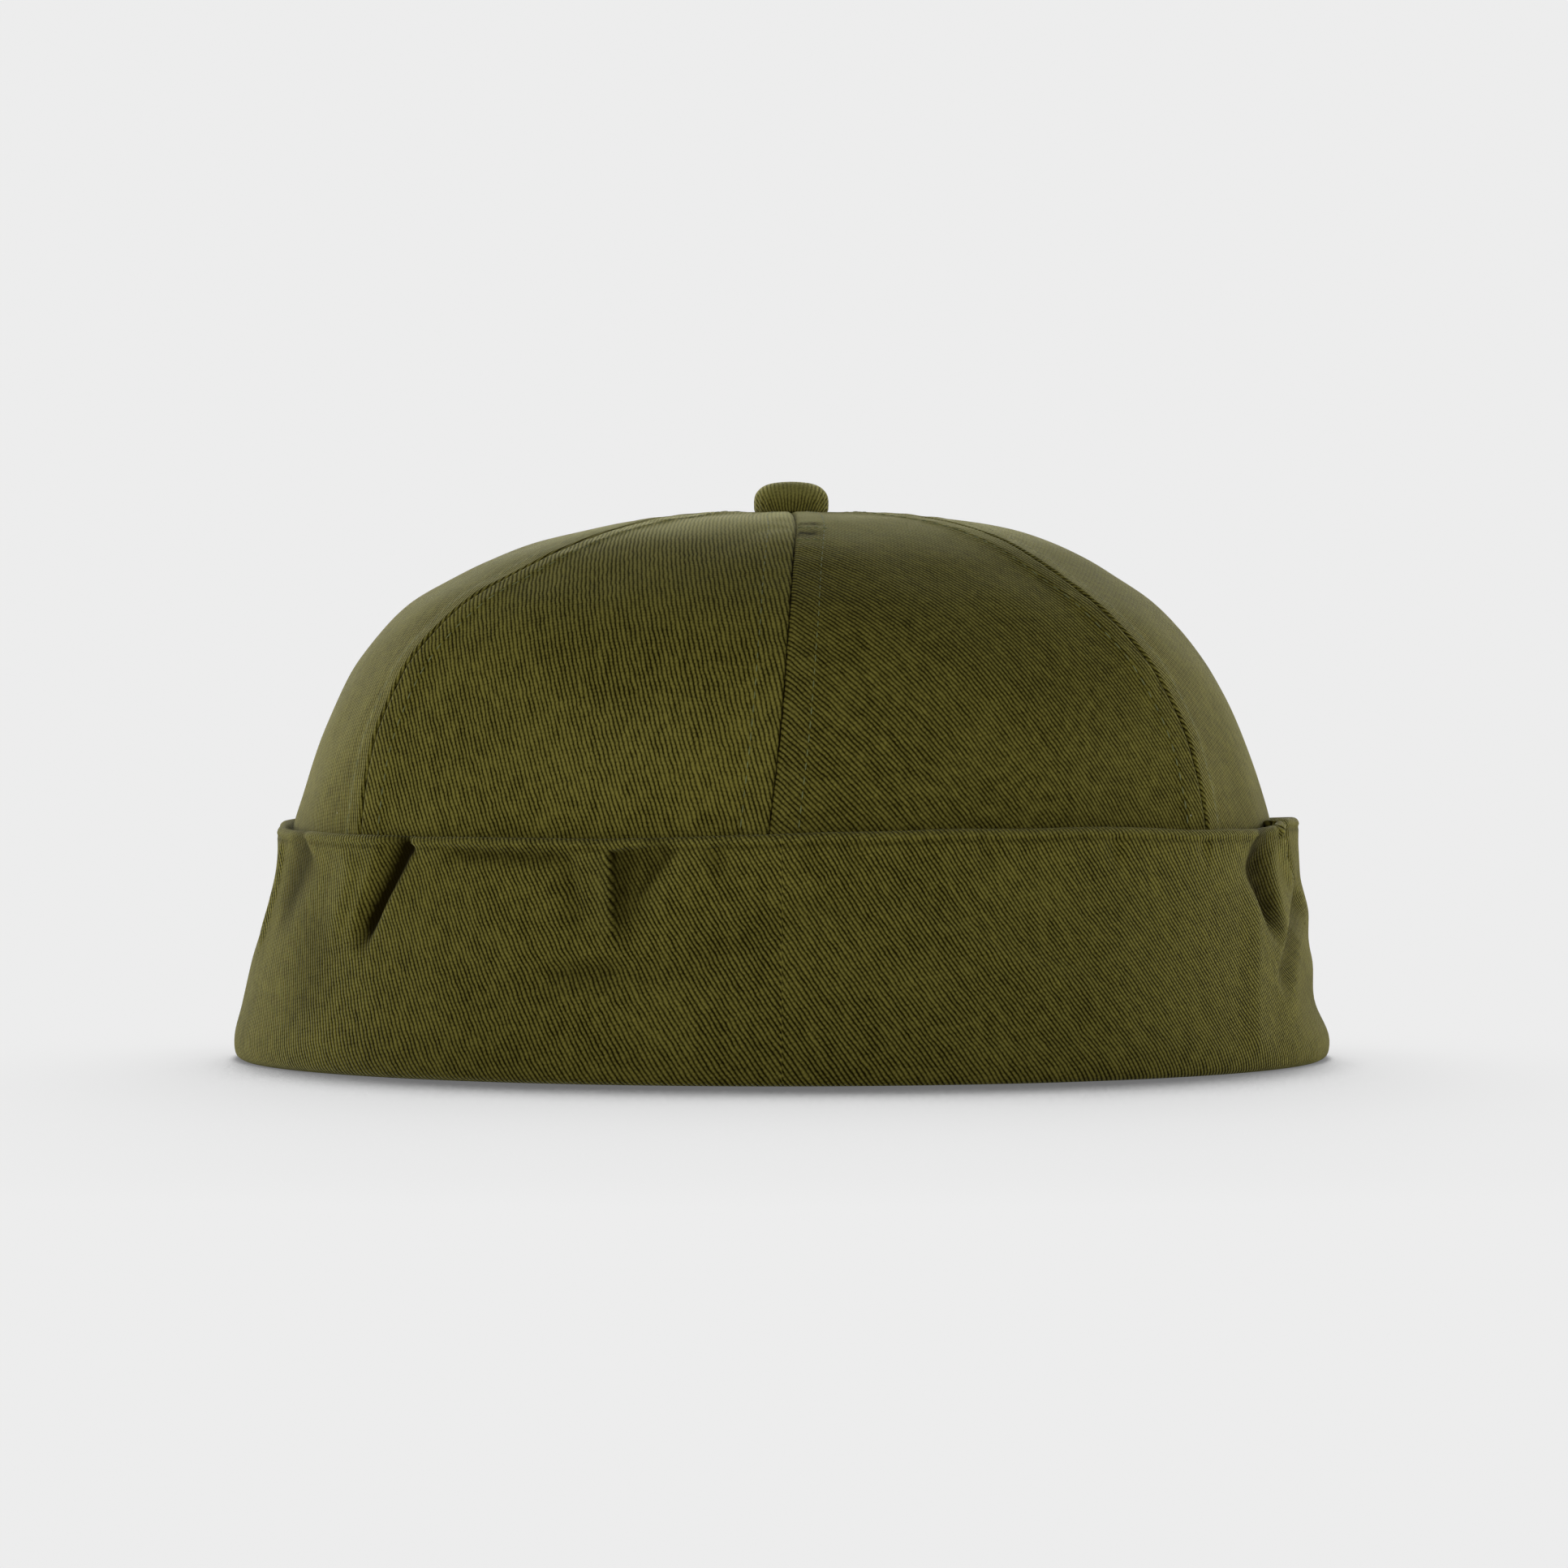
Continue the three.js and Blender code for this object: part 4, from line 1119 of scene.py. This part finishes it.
def pale_floor():
    """A glowing floor, with shadow painted where the cap closes off the light from behind."""
    material, g = node_material("pale floor")
    g.nodes.clear()

    def shade(reach, normal, stops):
        inputs = {"Distance": reach, "Normal": g.combine(*normal)}
        open_sky = g.add("ShaderNodeAmbientOcclusion", inputs, samples=24)
        levels = g.add("ShaderNodeValToRGB", {0: open_sky.outputs["AO"]})
        ramp = levels.color_ramp
        while len(ramp.elements) < len(stops):
            ramp.elements.new(0.5)
        for element, (place, value) in zip(ramp.elements, stops):
            element.position = place
            element.color = (value, value, value, 1)
        return levels.outputs[0]

    place = g.add("ShaderNodeTexCoord").outputs["Object"]
    x = g.add("ShaderNodeSeparateXYZ", {0: place}).outputs[0]
    ends = {"Value": g.math("ABSOLUTE", x), "From Min": SIDE_START, "From Max": SIDE_FULL}
    side = g.add("ShaderNodeMapRange", ends, interpolation_type="SMOOTHSTEP").outputs[0]
    wide = shade(SHADE_REACH, SHADE_SLOPE, FLOOR_SHADES)
    wide = g.math("POWER", wide, g.minus(1.0, g.times(side, SIDE_FILL)))
    close = shade(CONTACT_REACH, CONTACT_SLOPE, CONTACT_SHADES)
    close = g.mix(side, (1.0, 1.0, 1.0, 1.0), close)
    seen = g.add("ShaderNodeLightPath").outputs["Is Camera Ray"]
    levels = {"Value": seen, "To Min": FLOOR_BOUNCE, "To Max": BACKDROP}
    strength = g.add("ShaderNodeMapRange", levels).outputs[0]
    colour = g.mix(1.0, wide, close, "MULTIPLY")
    glow = g.add("ShaderNodeEmission", {"Color": colour, "Strength": strength})
    g.add("ShaderNodeOutputMaterial", {0: glow.outputs[0]})
    return material


corner = FLOOR_SIZE / 2
floor_mesh = bpy.data.meshes.new("floor")
corners = [(-corner, -corner, 0), (corner, -corner, 0), (corner, corner, 0), (-corner, corner, 0)]
floor_mesh.from_pydata(corners, [], [(0, 1, 2, 3)])
floor_mesh.materials.append(pale_floor())
floor = put("floor", floor_mesh)

# name, place, height on the cap's axis that it faces, width and height of the light, watts
LIGHTS = (
    ("light_back", (0.0, 1.5, 0.35), 0.08, 1.6, 0.5, 22),
    ("light_back_middle", (0.0, 1.5, 0.7), 0.08, 1.6, 0.6, 12),
    ("light_back_high", (0.0, 1.2, 1.2), 0.08, 1.6, 0.8, 6),
    ("light_left_rear", (-1.1, 1.0, 0.2), 0.05, 0.8, 0.4, 16),
    ("light_right_rear", (1.1, 0.9, 0.2), 0.05, 0.8, 0.4, 12),
    ("light_left_high", (-1.1, -0.1, 1.2), 0.05, 0.8, 0.6, 2.5),
    ("light_right", (1.5, 0.25, 0.3), 0.05, 0.8, 0.5, 4),
    ("light_right_front", (1.3, -0.9, 0.2), 0.05, 0.8, 0.4, 2.6),
    ("light_front", (-0.75, -1.5, 0.2), 0.05, 1.4, 0.4, 8.2),
    ("light_top", (0.0, 0.0, 1.6), 0.08, 1.2, 1.2, 1.2),
)


def soft_light(name, place, aim, width, height, watts):
    """A rectangular light that faces a height on the cap's axis, all in metres."""
    lamp = bpy.data.lights.new(name, "AREA")
    lamp.shape = "RECTANGLE"
    lamp.size = width
    lamp.size_y = height
    lamp.energy = watts
    light = put(name, lamp)
    light.location = place
    way = np.array((0.0, 0.0, aim)) - np.array(place)
    yaw = math.atan2(way[1], way[0]) - math.pi / 2
    pitch = math.atan2(way[2], math.hypot(way[0], way[1])) + math.pi / 2
    light.rotation_euler = (pitch, 0, yaw)


for light_row in LIGHTS:
    soft_light(*light_row)

world = bpy.data.worlds.new("soft room")
bpy.context.scene.world = world
world.use_nodes = True
w = Graph(world.node_tree)
w.nodes.clear()
room = w.add("ShaderNodeBackground", {"Strength": ROOM_LIGHT}).outputs[0]
backdrop = w.add("ShaderNodeBackground", {"Color": (BACKDROP, BACKDROP, BACKDROP, 1)}).outputs[0]
seen_ray = w.add("ShaderNodeLightPath").outputs["Is Camera Ray"]
choose = w.add("ShaderNodeMixShader", {0: seen_ray, 1: room, 2: backdrop})
w.add("ShaderNodeOutputWorld", {0: choose.outputs[0]})

bpy.context.scene.view_settings.view_transform = "Standard"

lens = bpy.data.cameras.new("camera")
lens.sensor_width = 36.0
lens.lens = LENS
camera = put("camera", lens)
camera.location = (CAMERA_X, -CAMERA_DISTANCE, CAMERA_HEIGHT)
camera.rotation_euler = (math.pi / 2 - CAMERA_DROP, 0, 0)
bpy.context.scene.camera = camera
